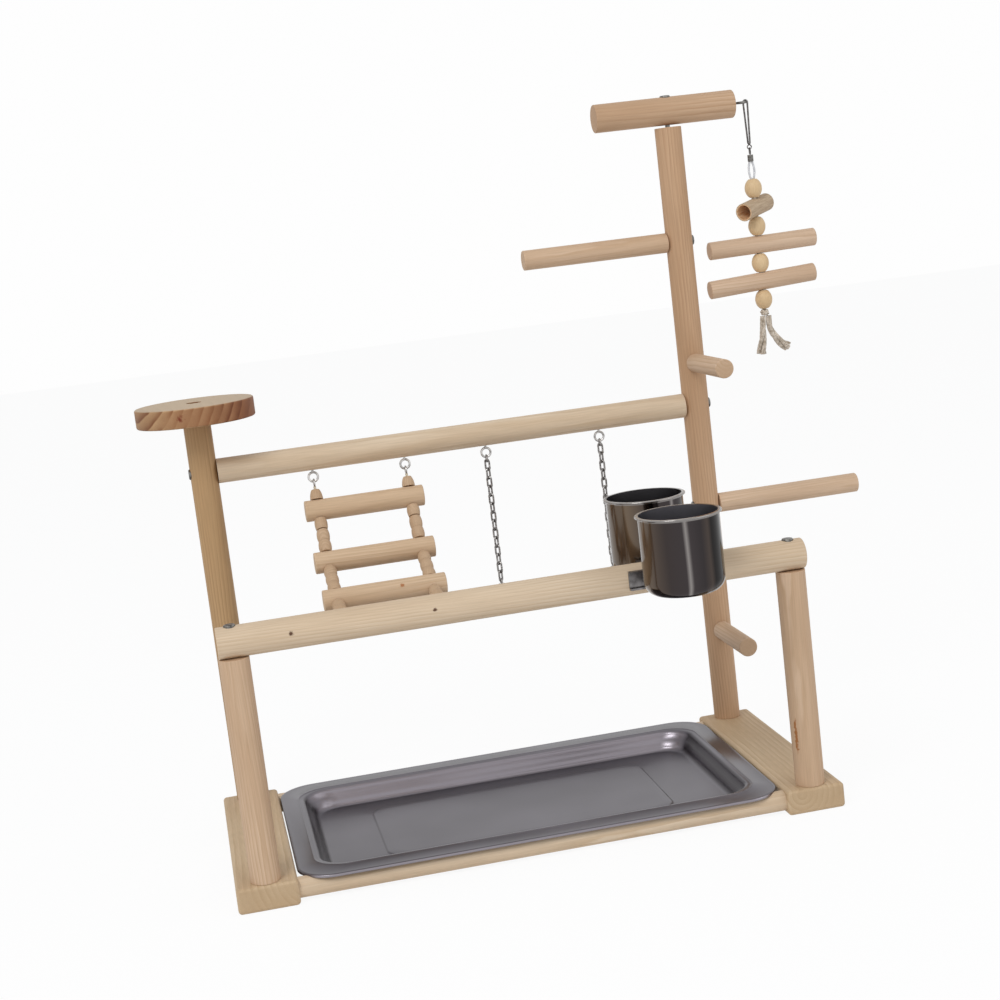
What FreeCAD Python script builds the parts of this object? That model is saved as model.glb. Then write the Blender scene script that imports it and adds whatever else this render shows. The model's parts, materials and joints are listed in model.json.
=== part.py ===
import FreeCAD
import Part
import math
import os
import re

# A table-top parrot play stand: a frame of pine dowels on two flat base blocks, with a lift-out steel
# tray, two steel cups, perches, a bridge of five rungs, a swing on chains and a hanging chew toy.
# Millimetres. +Z is up, +X is to the right and +Y to the back as seen from the front. The origin is
# on the floor, at the centre of the rectangle that the two base blocks span.

SIZES = {
    # base
    "base_width": 480,
    "base_depth": 240,
    "block_width": 47,
    "block_height": 20,
    "block_edge": 3,
    "tray_dowel_diameter": 16,
    "tray_dowel_inset": 12,
    "tray_dowel_engagement": 15,
    # posts and rails
    "post_diameter": 23,
    "post_end_margin": 1.5,
    "dowel_edge": 0.9,
    "front_rail_diameter": 24,
    "front_rail_height": 205.3,
    "front_rail_overhang": 11,
    "upper_rail_diameter": 21,
    "upper_rail_height": 306,
    # platform and perches
    "platform_diameter": 99.5,
    "platform_thickness": 16,
    "platform_top": 365.8,
    "platform_edge": 1.5,
    "top_perch_diameter": 24,
    "top_perch_height": 560.8,
    "top_perch_left": 64.5,
    "top_perch_right": 59.5,
    "top_perch_gap": 2,
    "side_perch_diameter": 17,
    "left_perch_height": 449,
    "left_perch_length": 128.2,
    "right_perch_height": 215.4,
    "right_perch_length": 129.9,
    "peg_diameter": 16,
    "upper_peg_height": 343.3,
    "upper_peg_length": 84,
    "lower_peg_height": 102.6,
    "lower_peg_length": 74,
    # wood screws and the platform bolt
    "screw_shank": 4,
    "screw_head": 9,
    "screw_head_height": 2.4,
    "screw_length": 40,
    "top_screw_length": 52,
    "screw_seat_depth": 1.2,
    "screw_recess_depth": 4,
    "hole_clearance": 0.1,
    "bolt_shank": 5,
    "bolt_head": 10,
    "bolt_head_height": 5,
    "bolt_recess": 13,
    "bolt_recess_depth": 6,
    "bolt_length": 40,
    "bolt_key": 5,
    # tray
    "tray_gauge": 0.8,
    "tray_side_gap": 1,
    "tray_depth": 15,
    "tray_flange_side": 17,
    "tray_flange_end": 21,
    "tray_end_margin": 1,
    "tray_corner": 30,
    "tray_pan_corner": 22,
    "tray_wall_slope": 6,
    "tray_rest_gap": 0.3,
    "panel_margin": 34,
    "panel_rise": 1,
    "panel_corner": 12,
    # cups and their brackets
    "cup_diameter": 61,
    "cup_rim_diameter": 65,
    "cup_height": 60.5,
    "cup_rise": 55.2,
    "cup_gauge": 0.8,
    "cup_corner": 11,
    "cup_rim_height": 1.6,
    "cups_right": 118.5,
    "bracket_width": 68,
    "bracket_height": 14.5,
    "bracket_gauge": 1.5,
    "bracket_lip": 3,
    "bracket_rise": 1.7,
    "bracket_bolt_spacing": 40,
    "bracket_bolt_shank": 4,
    "bracket_bolt_head": 8,
    "bracket_bolt_head_height": 2.4,
    "hanger_width": 40,
    "hanger_gauge": 1,
    "hanger_gap": 0.3,
    "hanger_weld": 0.8,
    "hanger_tip": 3.5,
    # screw eyes
    "eye_wire": 2,
    "eye_radius": 4,
    "eye_neck": 1,
    "toy_eye_neck": 3,
    "eye_shank_length": 12,
    # bridge of rungs
    "bridge_centre": -86,
    "bridge_string_spacing": 79.5,
    "rung_diameter": 18,
    "rung_length": 102,
    "rung_1_reach": 0.047,
    "rung_1_fall": 0.293,
    "rung_2_reach": 0.203,
    "rung_2_fall": 0.792,
    "rung_3_reach": 0.432,
    "rung_3_fall": 1.091,
    "rung_4_reach": 0.682,
    "rung_4_fall": 1.216,
    "rung_5_reach": 0.927,
    "rung_5_fall": 1.141,
    "bead_diameter": 11,
    "bead_curve": 10,
    "bead_gap": 0.15,
    "bead_hinge_gap": 1,
    "end_bead_diameter": 11,
    "end_bead_length": 8.6,
    "end_bead_curve": 22,
    "string_diameter": 2.6,
    "string_clearance": 0.4,
    "hook_wire": 1.6,
    "hook_radius": 3,
    "lower_hook_radius": 3.6,
    # swing
    "swing_left": 25,
    "swing_right": 126.5,
    "swing_perch_diameter": 16,
    "swing_perch_overhang": 15,
    "chain_links": 14,
    "chain_pitch": 7.6,
    "chain_wire": 1.7,
    "chain_link_width": 5.9,
    "chain_gap": 0.05,
    "jump_ring_hold": 0.4,
    "jump_ring_radius": 3,
    "jump_ring_wire": 1.4,
    # hanging toy
    "toy_hook_length": 39,
    "toy_hook_wire": 1.6,
    "toy_hook_top": 5.4,
    "toy_hook_bottom": 3.4,
    "toy_ring_radius": 1.8,
    "toy_ring_wire": 1,
    "toy_ring_weld": 0.35,
    "toy_link_length": 6.5,
    "toy_link_width": 4,
    "toy_link_wire": 1,
    "ferrule_diameter": 5,
    "ferrule_length": 6,
    "toy_loop_length": 15,
    "toy_loop_strand": 2.2,
    "toy_loop_part": 0.1,
    "toy_loop_spread": 2.4,
    "toy_rope_diameter": 5,
    "toy_rope_clearance": 0.3,
    "toy_bead_diameter": 15,
    "toy_bead_height": 16,
    "toy_bead_flat": 7,
    "toy_gap": 0.3,
    "toy_tube_gap": 0.7,
    "toy_stick_diameter": 15.5,
    "toy_stick_length": 97,
    "upper_stick_shift": 3,
    "upper_stick_tilt": 1,
    "lower_stick_shift": 0,
    "lower_stick_tilt": 3,
    "toy_tube_diameter": 15.5,
    "toy_tube_wall": 1.4,
    "toy_tube_length": 41,
    "toy_tube_turn": 222,
    "toy_tube_tilt": 9,
    "knot_diameter": 9,
    "knot_height": 8,
    "knot_top_flat": 0.4,
    "knot_foot_flat": 1.2,
    "tail_diameter": 5.2,
}

# Places that follow from the sizes, as text that goes into the parts' own expressions.
INNER_X = "(base_width / 2 - block_width)"
POST_X = "((base_width - block_width) / 2)"
POST_Y = "(base_depth / 2 - post_diameter / 2 - post_end_margin)"
POST_R = "(post_diameter / 2)"
TRAY_DOWEL_Y = "(base_depth / 2 - tray_dowel_inset)"
RAIL_R = "(front_rail_diameter / 2)"
FRONT_Y = f"(-{POST_Y})"
FRONT_POST_TOP = f"(front_rail_height - {RAIL_R})"
PLATFORM_BOTTOM = "(platform_top - platform_thickness)"
TOP_PERCH_R = "(top_perch_diameter / 2)"
RIGHT_POST_TOP = f"(top_perch_height - {TOP_PERCH_R} - top_perch_gap)"
SCREW_HOLE = "(screw_shank + hole_clearance)"
HEAD_HOLE = "(screw_head + 4 * hole_clearance)"
BRACKET_Z = "(front_rail_height + bracket_rise)"
CUP_OUT = (f"({RAIL_R} + bracket_gauge + bracket_lip + hanger_gap + hanger_gauge - hanger_weld"
           " + cup_diameter / 2)")
CUP_BOTTOM = "(front_rail_height + cup_rise - cup_height)"
EYE_REACH = "(eye_neck + 2 * eye_radius + eye_wire / 2)"

UP = FreeCAD.Vector(0, 0, 1)
DOWN = FreeCAD.Vector(0, 0, -1)
RIGHT = FreeCAD.Vector(1, 0, 0)
LEFT = FreeCAD.Vector(-1, 0, 0)
BACK = FreeCAD.Vector(0, 1, 0)
FRONT = FreeCAD.Vector(0, -1, 0)

doc = FreeCAD.newDocument("parrot_play_stand")
sheet = doc.addObject("Spreadsheet::Sheet", "Sizes")
for row, (alias, number) in enumerate(SIZES.items(), 1):
    sheet.set(f"A{row}", alias)
    sheet.set(f"B{row}", str(number))
    sheet.setAlias(f"B{row}", alias)
doc.recompute()

nodes = []


def bound(text):
    """The text with every size's name pointing at its cell."""
    return re.sub(r"[a-z]\w*", lambda word: f"Sizes.{word[0]}" if word[0] in SIZES else word[0], text)


def value(text):
    """The number that a text of size names stands for."""
    return float(sheet.evalExpression(bound(text)))


def place(piece, at, rotation):
    """Turn a piece about its own origin and bind that origin to three texts."""
    piece.Placement = FreeCAD.Placement(FreeCAD.Vector(), rotation)
    for letter, text in zip("xyz", at):
        piece.setExpression(f"Placement.Base.{letter}", bound(text))


def turned(direction):
    """The turn that lays a piece's own Z axis along a direction."""
    return FreeCAD.Rotation(UP, direction)


def add(kind, name, at=("0", "0", "0"), rotation=FreeCAD.Rotation(), **sizes):
    """A primitive whose sizes and place are bound to the sheet."""
    piece = doc.addObject(kind, name)
    for size, text in sizes.items():
        piece.setExpression(size, bound(text))
    place(piece, at, rotation)
    return piece


def bar(name, diameter, length, at, direction):
    """A round bar that starts at a point and runs in a direction."""
    return add("Part::Cylinder", name, at, turned(direction), Radius=f"({diameter}) / 2", Height=length)


def box(name, low, spans):
    """A box from its lowest corner and its three spans."""
    length, width, height = spans
    return add("Part::Box", name, low, Length=length, Width=width, Height=height)


def rounded(name, piece, radius, pick):
    """A piece with the edges that pick chooses rounded to a radius."""
    doc.recompute()
    edges = [number for number, edge in enumerate(piece.Shape.Edges, 1) if pick(edge)]
    fillet = doc.addObject("Part::Fillet", name)
    fillet.Base = piece
    fillet.Edges = [(number, value(radius), value(radius)) for number in edges]
    return fillet


def circular(edge):
    """Is an edge a whole circle, as at a bar's ends?"""
    return isinstance(edge.Curve, Part.Circle)


def upright(edge):
    """Does an edge climb, as a box's or a pan's corners do?"""
    first, last = (vertex.Point for vertex in (edge.Vertexes[0], edge.Vertexes[-1]))
    return abs(first.z - last.z) > 0.5 * edge.Length


def cut(name, piece, tools):
    """A piece with its holes and recesses cut out."""
    cutter = tools[0]
    if len(tools) > 1:
        cutter = doc.addObject("Part::MultiFuse", f"{name}_cutters")
        cutter.Shapes = tools
    result = doc.addObject("Part::Cut", name)
    result.Base = piece
    result.Tool = cutter
    return result


def fuse(name, pieces):
    """Several solids welded or formed into one."""
    result = doc.addObject("Part::MultiFuse", name)
    result.Shapes = pieces
    return result


def copy(name, piece, at, rotation=FreeCAD.Rotation()):
    """A copy of a piece in its own place."""
    link = doc.addObject("App::Link", name)
    link.LinkedObject = piece
    place(link, at, rotation)
    return link


def node(name, pieces):
    """Enter a finished sub-part: one object, or a group of separate solids."""
    if len(pieces) > 1 or pieces[0].TypeId == "App::Link":
        group = doc.addObject("Part::Compound", f"{name}_group")
        group.Links = pieces
        pieces = [group]
    pieces[0].Label = name
    nodes.append(pieces[0])


def drawn(name, shape):
    """A solid that is swept along wires; its sizes are read from the sheet."""
    piece = doc.addObject("Part::Feature", name)
    piece.Shape = shape
    return piece


def wire_path(points):
    """A wire of straight runs through points, with an arc at each corner that its two runs allow."""
    edges = []
    start = points[0]
    for before, corner, after in zip(points, points[1:], points[2:]):
        back_way = (before - corner).normalize()
        on_way = (after - corner).normalize()
        half_turn = (math.pi - back_way.getAngle(on_way)) / 2
        trim = 0.45 * min(before.distanceToPoint(corner), after.distanceToPoint(corner))
        radius = trim / math.tan(half_turn)
        bisector = (back_way + on_way).normalize()
        middle = corner + bisector * (radius / math.cos(half_turn) - radius)
        first, last = corner + back_way * trim, corner + on_way * trim
        edges.append(Part.LineSegment(start, first).toShape())
        edges.append(Part.Arc(first, middle, last).toShape())
        print(f"  bend radius {radius:.1f}")
        start = last
    edges.append(Part.LineSegment(start, points[-1]).toShape())
    return Part.Wire(edges)


def tube(path, diameter, start, direction):
    """A round section swept along a path."""
    section = Part.Wire(Part.Circle(start, direction, diameter / 2).toShape())
    return path.makePipeShell([section], True, True)


# ---- wood screws: a pan head on +Z, its underside at the origin, and a shank down into the wood ----

def screw_pattern(name, shank, head, head_height, length):
    head_blank = bar(f"{name}_head_blank", head, head_height, ("0", "0", "0"), UP)
    head_piece = rounded(f"{name}_head", head_blank, f"{head_height} / 2",
                         lambda edge: circular(edge) and edge.BoundBox.ZMin > 1)
    shank_piece = bar(f"{name}_shank", shank, length, ("0", "0", "0"), DOWN)
    return fuse(name, [head_piece, shank_piece])


wood_screw = screw_pattern("wood_screw", "screw_shank", "screw_head", "screw_head_height", "screw_length")
long_screw = screw_pattern("long_screw", "screw_shank", "screw_head", "screw_head_height",
                           "top_screw_length")


def screw_hole(name, seat, outward, length="screw_length", recess="screw_recess_depth"):
    """The hole of a screw and the recess of its head, from the seat of the head."""
    hole = bar(f"{name}_hole", SCREW_HOLE, f"{length} + hole_clearance", seat, outward * -1)
    mouth = bar(f"{name}_mouth", HEAD_HOLE, f"{recess} + screw_head_height", seat, outward)
    return fuse(f"{name}_bore", [hole, mouth])


# ---- base blocks, tray dowels and the screws that come up into the posts ----

SIDES = (("left", -1), ("right", 1))
ENDS = (("front", -1), ("rear", 1))
post_tools = {}
base_screws = []
for side, sign in SIDES:
    blank = box(f"block_blank_{side}", (f"{sign} * {POST_X} - block_width / 2", "-base_depth / 2", "0"),
                ("block_width", "base_depth", "block_height"))
    soft = rounded(f"block_soft_{side}", blank, "block_edge", lambda edge: True)
    tools = []
    for end, back in ENDS:
        seat = (f"{sign} * {POST_X}", f"{back} * {POST_Y}", "screw_recess_depth")
        bore = screw_hole(f"base_screw_{end}_{side}", seat, DOWN)
        base_screws.append(copy(f"base_screw_{end}_{side}", wood_screw, seat, turned(DOWN)))
        post_tools[end, side] = [bore]
        socket_x = f"{sign} * ({INNER_X} + tray_dowel_engagement + hole_clearance)"
        socket = bar(f"dowel_socket_{end}_{side}", "tray_dowel_diameter + hole_clearance",
                     "tray_dowel_engagement + block_edge + 1",
                     (socket_x, f"{back} * {TRAY_DOWEL_Y}", "block_height / 2"), RIGHT * -sign)
        tools += [bore, socket]
    node(f"base_block_{side}", [cut(f"block_{side}", soft, tools)])

for end, back in ENDS:
    blank = bar(f"{end}_tray_dowel_blank", "tray_dowel_diameter",
                f"2 * ({INNER_X} + tray_dowel_engagement)",
                (f"-{INNER_X} - tray_dowel_engagement", f"{back} * {TRAY_DOWEL_Y}", "block_height / 2"), RIGHT)
    node(f"{end}_tray_dowel", [rounded(f"tray_dowel_{end}", blank, "dowel_edge", circular)])

# ---- screws of the rails, perches and pegs ----

post_seat = f"({POST_R} - screw_seat_depth)"
front_rail_tools = []
front_rail_screws = []
for side, sign in SIDES:
    seat = (f"{sign} * {POST_X}", FRONT_Y, f"front_rail_height + {RAIL_R} - screw_seat_depth")
    bore = screw_hole(f"front_rail_screw_{side}", seat, UP)
    front_rail_tools.append(bore)
    post_tools["front", side].append(bore)
    front_rail_screws.append(copy(f"front_rail_screw_{side}", wood_screw, seat, turned(UP)))

upper_rail_tools = []
upper_rail_screws = []
for side, sign in SIDES:
    seat = (f"{sign} * ({POST_X} + {post_seat})", POST_Y, "upper_rail_height")
    bore = screw_hole(f"upper_rail_screw_{side}", seat, RIGHT * sign)
    upper_rail_tools.append(bore)
    post_tools["rear", side].append(bore)
    upper_rail_screws.append(copy(f"upper_rail_screw_{side}", wood_screw, seat, turned(RIGHT * sign)))

# Each perch or peg butts on the rear right post and points away from it: its name, its height, its
# diameter, its length and the way it points. Its screw comes through the post from behind it.
perch_screws = []
for name, height, diameter, length, way in (
        ("left_perch", "left_perch_height", "side_perch_diameter", "left_perch_length", LEFT),
        ("right_perch", "right_perch_height", "side_perch_diameter", "right_perch_length", RIGHT),
        ("upper_peg", "upper_peg_height", "peg_diameter", "upper_peg_length", FRONT),
        ("lower_peg", "lower_peg_height", "peg_diameter", "lower_peg_length", FRONT)):
    butt = (f"{POST_X} + {way.x:g} * {POST_R}", f"{POST_Y} + {way.y:g} * {POST_R}", height)
    seat = (f"{POST_X} - {way.x:g} * {post_seat}", f"{POST_Y} - {way.y:g} * {post_seat}", height)
    bore = screw_hole(f"{name}_screw", seat, way * -1)
    post_tools["rear", "right"].append(bore)
    perch_screws.append(copy(f"{name}_screw", wood_screw, seat, turned(way * -1)))
    blank = bar(f"{name}_blank", diameter, length, butt, way)
    soft = rounded(f"{name}_soft", blank, "dowel_edge", circular)
    node(name, [cut(f"{name}_drilled", soft, [bore])])

# ---- platform on the rear left post, held by a socket-head bolt in a recess ----

platform_at = (f"-{POST_X}", POST_Y, PLATFORM_BOTTOM)
bolt_seat = (f"-{POST_X}", POST_Y, "platform_top - bolt_recess_depth")
bolt_hole = bar("platform_bolt_hole", "bolt_shank + hole_clearance", "bolt_length + hole_clearance",
                bolt_seat, DOWN)
bolt_mouth = bar("platform_bolt_mouth", "bolt_recess", "bolt_recess_depth + 1", bolt_seat, UP)
post_tools["rear", "left"].append(bolt_hole)
platform_blank = bar("platform_blank", "platform_diameter", "platform_thickness", platform_at, UP)
platform_soft = rounded("platform_soft", platform_blank, "platform_edge", circular)
node("perch_platform", [cut("platform", platform_soft, [bolt_hole, bolt_mouth])])
bolt_blank = fuse("platform_bolt_blank", [
    bar("platform_bolt_head", "bolt_head", "bolt_head_height", bolt_seat, UP),
    bar("platform_bolt_shank", "bolt_shank", "bolt_length", bolt_seat, DOWN)])
key_at = bolt_seat[:2] + ("platform_top - bolt_recess_depth + bolt_head_height / 2",)
key = add("Part::Prism", "platform_bolt_key", key_at, Circumradius="bolt_key / 2 / cos(30)",
          Height="bolt_head_height")
key.Polygon = 6
node("platform_bolt", [cut("platform_bolt_keyed", bolt_blank, [key])])

# ---- perch across the top of the rear right post, on the bare shank of its screw ----

top_perch_left = f"({POST_X} - top_perch_left)"
top_seat = (POST_X, POST_Y, f"top_perch_height + {TOP_PERCH_R} - screw_seat_depth")
top_bore = screw_hole("top_perch_screw", top_seat, UP, "top_screw_length")
post_tools["rear", "right"].append(top_bore)
toy_eye_at = (f"{POST_X} + top_perch_right", POST_Y, "top_perch_height")
toy_eye_bore = bar("toy_eye_bore", "eye_wire + hole_clearance", "eye_shank_length + hole_clearance",
                   toy_eye_at, LEFT)
top_blank = bar("top_perch_blank", "top_perch_diameter", "top_perch_left + top_perch_right",
                (top_perch_left, POST_Y, "top_perch_height"), RIGHT)
top_soft = rounded("top_perch_soft", top_blank, "dowel_edge", circular)
node("top_perch", [cut("top_perch_drilled", top_soft, [top_bore, toy_eye_bore])])
node("top_perch_screw", [copy("top_perch_screw_placed", long_screw, top_seat)])
node("frame_screws", base_screws + front_rail_screws + upper_rail_screws + perch_screws)

# ---- posts ----

for end, side, top in (("front", "left", FRONT_POST_TOP), ("front", "right", FRONT_POST_TOP),
                       ("rear", "left", PLATFORM_BOTTOM), ("rear", "right", RIGHT_POST_TOP)):
    x_sign = -1 if side == "left" else 1
    y_sign = -1 if end == "front" else 1
    blank = bar(f"post_{end}_{side}_blank", "post_diameter", f"{top} - block_height",
                (f"{x_sign} * {POST_X}", f"{y_sign} * {POST_Y}", "block_height"), UP)
    soft = rounded(f"post_{end}_{side}_soft", blank, "dowel_edge / 2", circular)
    node(f"post_{end}_{side}", [cut(f"post_{end}_{side}_drilled", soft, post_tools[end, side])])

# ---- screw eyes: a ring below the wood, its neck, and a shank up into the wood ----


def screw_eye(name, neck):
    ring = add("Part::Torus", f"{name}_ring", ("0", "0", f"-{neck} - eye_radius - eye_wire / 2"),
               turned(FRONT), Radius1="eye_radius", Radius2="eye_wire / 2")
    shank = bar(f"{name}_shank", "eye_wire", f"{neck} + eye_shank_length",
                ("0", "0", f"-{neck} - eye_wire / 4"), UP)
    return fuse(name, [ring, shank])


frame_eye = screw_eye("frame_eye", "eye_neck")
toy_eye = screw_eye("toy_eye", "toy_eye_neck")


def eye_bore(name, at, inward):
    return bar(name, "eye_wire + hole_clearance", "eye_shank_length + hole_clearance", at, inward)


string_x = {side: f"(bridge_centre + {sign} * bridge_string_spacing / 2)" for side, sign in SIDES}
UPPER_SURFACE = "(upper_rail_height - upper_rail_diameter / 2)"
LOWER_SURFACE = f"({FRONT_Y} + {RAIL_R})"
facing_back = FreeCAD.Rotation(RIGHT, 90)
upper_eyes, lower_eyes, swing_eyes = [], [], []
for side, sign in SIDES:
    upper_at = (string_x[side], POST_Y, UPPER_SURFACE)
    upper_eyes.append(copy(f"bridge_eye_upper_{side}", frame_eye, upper_at))
    upper_rail_tools.append(eye_bore(f"bridge_eye_upper_bore_{side}", upper_at, UP))
    lower_at = (string_x[side], LOWER_SURFACE, "front_rail_height")
    lower_eyes.append(copy(f"bridge_eye_lower_{side}", frame_eye, lower_at, facing_back))
    front_rail_tools.append(eye_bore(f"bridge_eye_lower_bore_{side}", lower_at, FRONT))
    swing_at = (f"swing_{side}", POST_Y, UPPER_SURFACE)
    swing_eyes.append(copy(f"swing_eye_{side}", frame_eye, swing_at))
    upper_rail_tools.append(eye_bore(f"swing_eye_bore_{side}", swing_at, UP))
node("ladder_screw_eyes_upper", upper_eyes)
node("ladder_screw_eyes_lower", lower_eyes)
node("swing_screw_eyes", swing_eyes)
# The toy's eye lies flat, so that its hook hangs over the outer side of the ring.
toy_eye_turn = FreeCAD.Rotation(BACK, UP, LEFT)
node("toy_screw_eye", [copy("toy_screw_eye_placed", toy_eye, toy_eye_at, toy_eye_turn)])

# ---- rails ----

CUP_SIDES = (("front", -1), ("rear", 1))
cup_bolt_x = {side: f"(cups_right + {sign} * bracket_bolt_spacing / 2)" for side, sign in SIDES}
for side in cup_bolt_x:
    front_rail_tools.append(bar(f"cup_bolt_bore_{side}", "bracket_bolt_shank + hole_clearance",
                                "front_rail_diameter + 2",
                                (cup_bolt_x[side], f"{FRONT_Y} - {RAIL_R} - 1", BRACKET_Z), BACK))
front_half = f"({POST_X} + front_rail_overhang)"
front_rail_blank = bar("front_rail_blank", "front_rail_diameter", f"2 * {front_half}",
                       (f"-{front_half}", FRONT_Y, "front_rail_height"), RIGHT)
front_rail_soft = rounded("front_rail_soft", front_rail_blank, "dowel_edge", circular)
node("front_rail", [cut("front_rail_drilled", front_rail_soft, front_rail_tools)])
upper_half = f"({POST_X} - {POST_R})"
upper_rail_blank = bar("upper_rail_blank", "upper_rail_diameter", f"2 * {upper_half}",
                       (f"-{upper_half}", POST_Y, "upper_rail_height"), RIGHT)
node("upper_rail", [cut("upper_rail_drilled", upper_rail_blank, upper_rail_tools)])

# ---- pressed steel tray: a flange on the tray dowels, a pan with sloping walls, a raised panel ----

FLANGE_X = f"({INNER_X} - tray_side_gap)"
FLANGE_Y = "(base_depth / 2 - tray_end_margin)"
FLANGE_Z = "(block_height / 2 + tray_dowel_diameter / 2 + tray_rest_gap)"
PAN_X = f"({FLANGE_X} - tray_flange_side)"
PAN_Y = f"({FLANGE_Y} - tray_flange_end)"
tipped_up = FreeCAD.Rotation(RIGHT, 90)


def pan(name, half_x, half_y, slope, bottom, top, corner):
    """A tapered block with rounded corners: its half sizes are those at its top."""
    taper = add("Part::Wedge", f"{name}_taper", rotation=tipped_up,
                Xmin=f"-({half_x} - {slope})", Xmax=f"{half_x} - {slope}",
                Zmin=f"-({half_y} - {slope})", Zmax=f"{half_y} - {slope}",
                X2min=f"-({half_x})", X2max=half_x, Z2min=f"-({half_y})", Z2max=half_y,
                Ymin=bottom, Ymax=top)
    return rounded(name, taper, corner, upright)


flange_blank = box("flange_blank", (f"-{FLANGE_X}", f"-{FLANGE_Y}", FLANGE_Z),
                   (f"2 * {FLANGE_X}", f"2 * {FLANGE_Y}", "tray_gauge"))
flange = rounded("flange", flange_blank, "tray_corner", upright)
pan_bottom = f"({FLANGE_Z} - tray_depth)"
pan_outer = pan("pan_outer", PAN_X, PAN_Y, "tray_wall_slope", pan_bottom, f"{FLANGE_Z} + tray_gauge",
                "tray_pan_corner")
pan_inner = pan("pan_inner", f"{PAN_X} - tray_gauge", f"{PAN_Y} - tray_gauge", "tray_wall_slope",
                f"{pan_bottom} + tray_gauge", f"{FLANGE_Z} + 2 * tray_gauge",
                "tray_pan_corner - tray_gauge")


def panel(name, inset, low, height, corner):
    """A flat block with rounded corners over the middle of the pan's floor."""
    half_x = f"({PAN_X} - tray_wall_slope - panel_margin - {inset})"
    half_y = f"({PAN_Y} - tray_wall_slope - panel_margin / 2 - {inset})"
    blank = box(f"{name}_blank", (f"-{half_x}", f"-{half_y}", low),
                (f"2 * {half_x}", f"2 * {half_y}", height))
    return rounded(name, blank, corner, upright)


panel_top = panel("panel_top", "0", f"{pan_bottom} + tray_gauge / 2", "tray_gauge / 2 + panel_rise",
                  "panel_corner")
panel_under = panel("panel_under", "tray_gauge", f"{pan_bottom} - 1", "1 + panel_rise",
                    "panel_corner - tray_gauge")
tray_shell = cut("tray_shell", fuse("tray_blank", [flange, pan_outer]), [pan_inner])
node("tray", [cut("tray_pressed", fuse("tray_paneled", [tray_shell, panel_top]), [panel_under])])

# ---- brackets on the front rail, their through bolts and nuts, and the cups that hang on them ----

bolts, nuts = [], []
for end, back in CUP_SIDES:
    rail_face = f"({FRONT_Y} + {back} * {RAIL_R})"
    half_width = "bracket_width / 2"

    def slab(name, near, far, spans, rail_face=rail_face, back=back):
        """A box from its nearer and farther distance off the rail's face, out of x and z spans."""
        low_x, width, low_z, tall = spans
        low_y = f"{rail_face} + {near}" if back > 0 else f"{rail_face} - ({far})"
        return box(name, (low_x, low_y, low_z), (width, f"({far}) - ({near})", tall))

    left = f"cups_right - {half_width}"
    low = f"{BRACKET_Z} - bracket_height / 2"
    channel = cut(f"{end}_bracket_channel",
                  slab(f"{end}_bracket_blank", "0", "bracket_gauge + bracket_lip",
                       (left, "bracket_width", low, "bracket_height")),
                  [slab(f"{end}_bracket_hollow", "bracket_gauge", "bracket_gauge + bracket_lip + 1",
                        (f"{left} - 1", "bracket_width + 2", f"{low} + bracket_gauge",
                         "bracket_height - 2 * bracket_gauge"))])
    bores = [bar(f"{end}_bracket_bore_{side}", "bracket_bolt_shank + hole_clearance", "bracket_gauge + 2",
                 (cup_bolt_x[side], f"{rail_face} - {back}", BRACKET_Z), BACK * back)
             for side in cup_bolt_x]
    node(f"{end}_cup_bracket", [cut(f"{end}_bracket", channel, bores)])

    # The cup: a drawn shell with a round lower corner and a rolled rim.
    centre = ("cups_right", f"{FRONT_Y} + {back} * {CUP_OUT}", CUP_BOTTOM)
    shell = rounded(f"{end}_cup_outer", bar(f"{end}_cup_blank", "cup_diameter", "cup_height", centre, UP),
                    "cup_corner",
                    lambda edge: circular(edge) and edge.BoundBox.ZMax < value(CUP_BOTTOM) + 1)
    rim_at = centre[:2] + (f"{CUP_BOTTOM} + cup_height - cup_rim_height",)
    rim_blank = bar(f"{end}_cup_rim_blank", "cup_rim_diameter", "cup_rim_height", rim_at, UP)
    rim = rounded(f"{end}_cup_rim", rim_blank, "cup_rim_height * 0.45", circular)
    hollow_at = centre[:2] + (f"{CUP_BOTTOM} + cup_gauge",)
    hollow = rounded(f"{end}_cup_hollow",
                     bar(f"{end}_cup_core", "cup_diameter - 2 * cup_gauge", "cup_height", hollow_at, UP),
                     "cup_corner - cup_gauge",
                     lambda edge: circular(edge) and edge.BoundBox.ZMax < value(CUP_BOTTOM) + 2)
    # Its hanger: a strip welded to the wall, that goes up over the bracket and down behind it.
    hanger_left = "cups_right - hanger_width / 2"
    hanger_near = "(bracket_gauge + bracket_lip + hanger_gap)"
    bracket_top = f"({BRACKET_Z} + bracket_height / 2)"
    strip_top = f"({bracket_top} + hanger_gap + hanger_gauge)"
    strip = slab(f"{end}_hanger_strip", hanger_near, f"{hanger_near} + hanger_gauge",
                 (hanger_left, "hanger_width", low, f"{strip_top} - ({low})"))
    bridge = slab(f"{end}_hanger_bridge", "-hanger_gap - hanger_gauge", hanger_near,
                  (hanger_left, "hanger_width", f"{bracket_top} + hanger_gap", "hanger_gauge"))
    tip = slab(f"{end}_hanger_tip", "-hanger_gap - hanger_gauge", "-hanger_gap",
               (hanger_left, "hanger_width", f"{strip_top} - hanger_tip", "hanger_tip"))
    welded = fuse(f"{end}_cup_welded", [shell, rim, strip, bridge, tip])
    node(f"{end}_cup", [cut(f"{end}_cup_open", welded, [hollow])])

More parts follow.
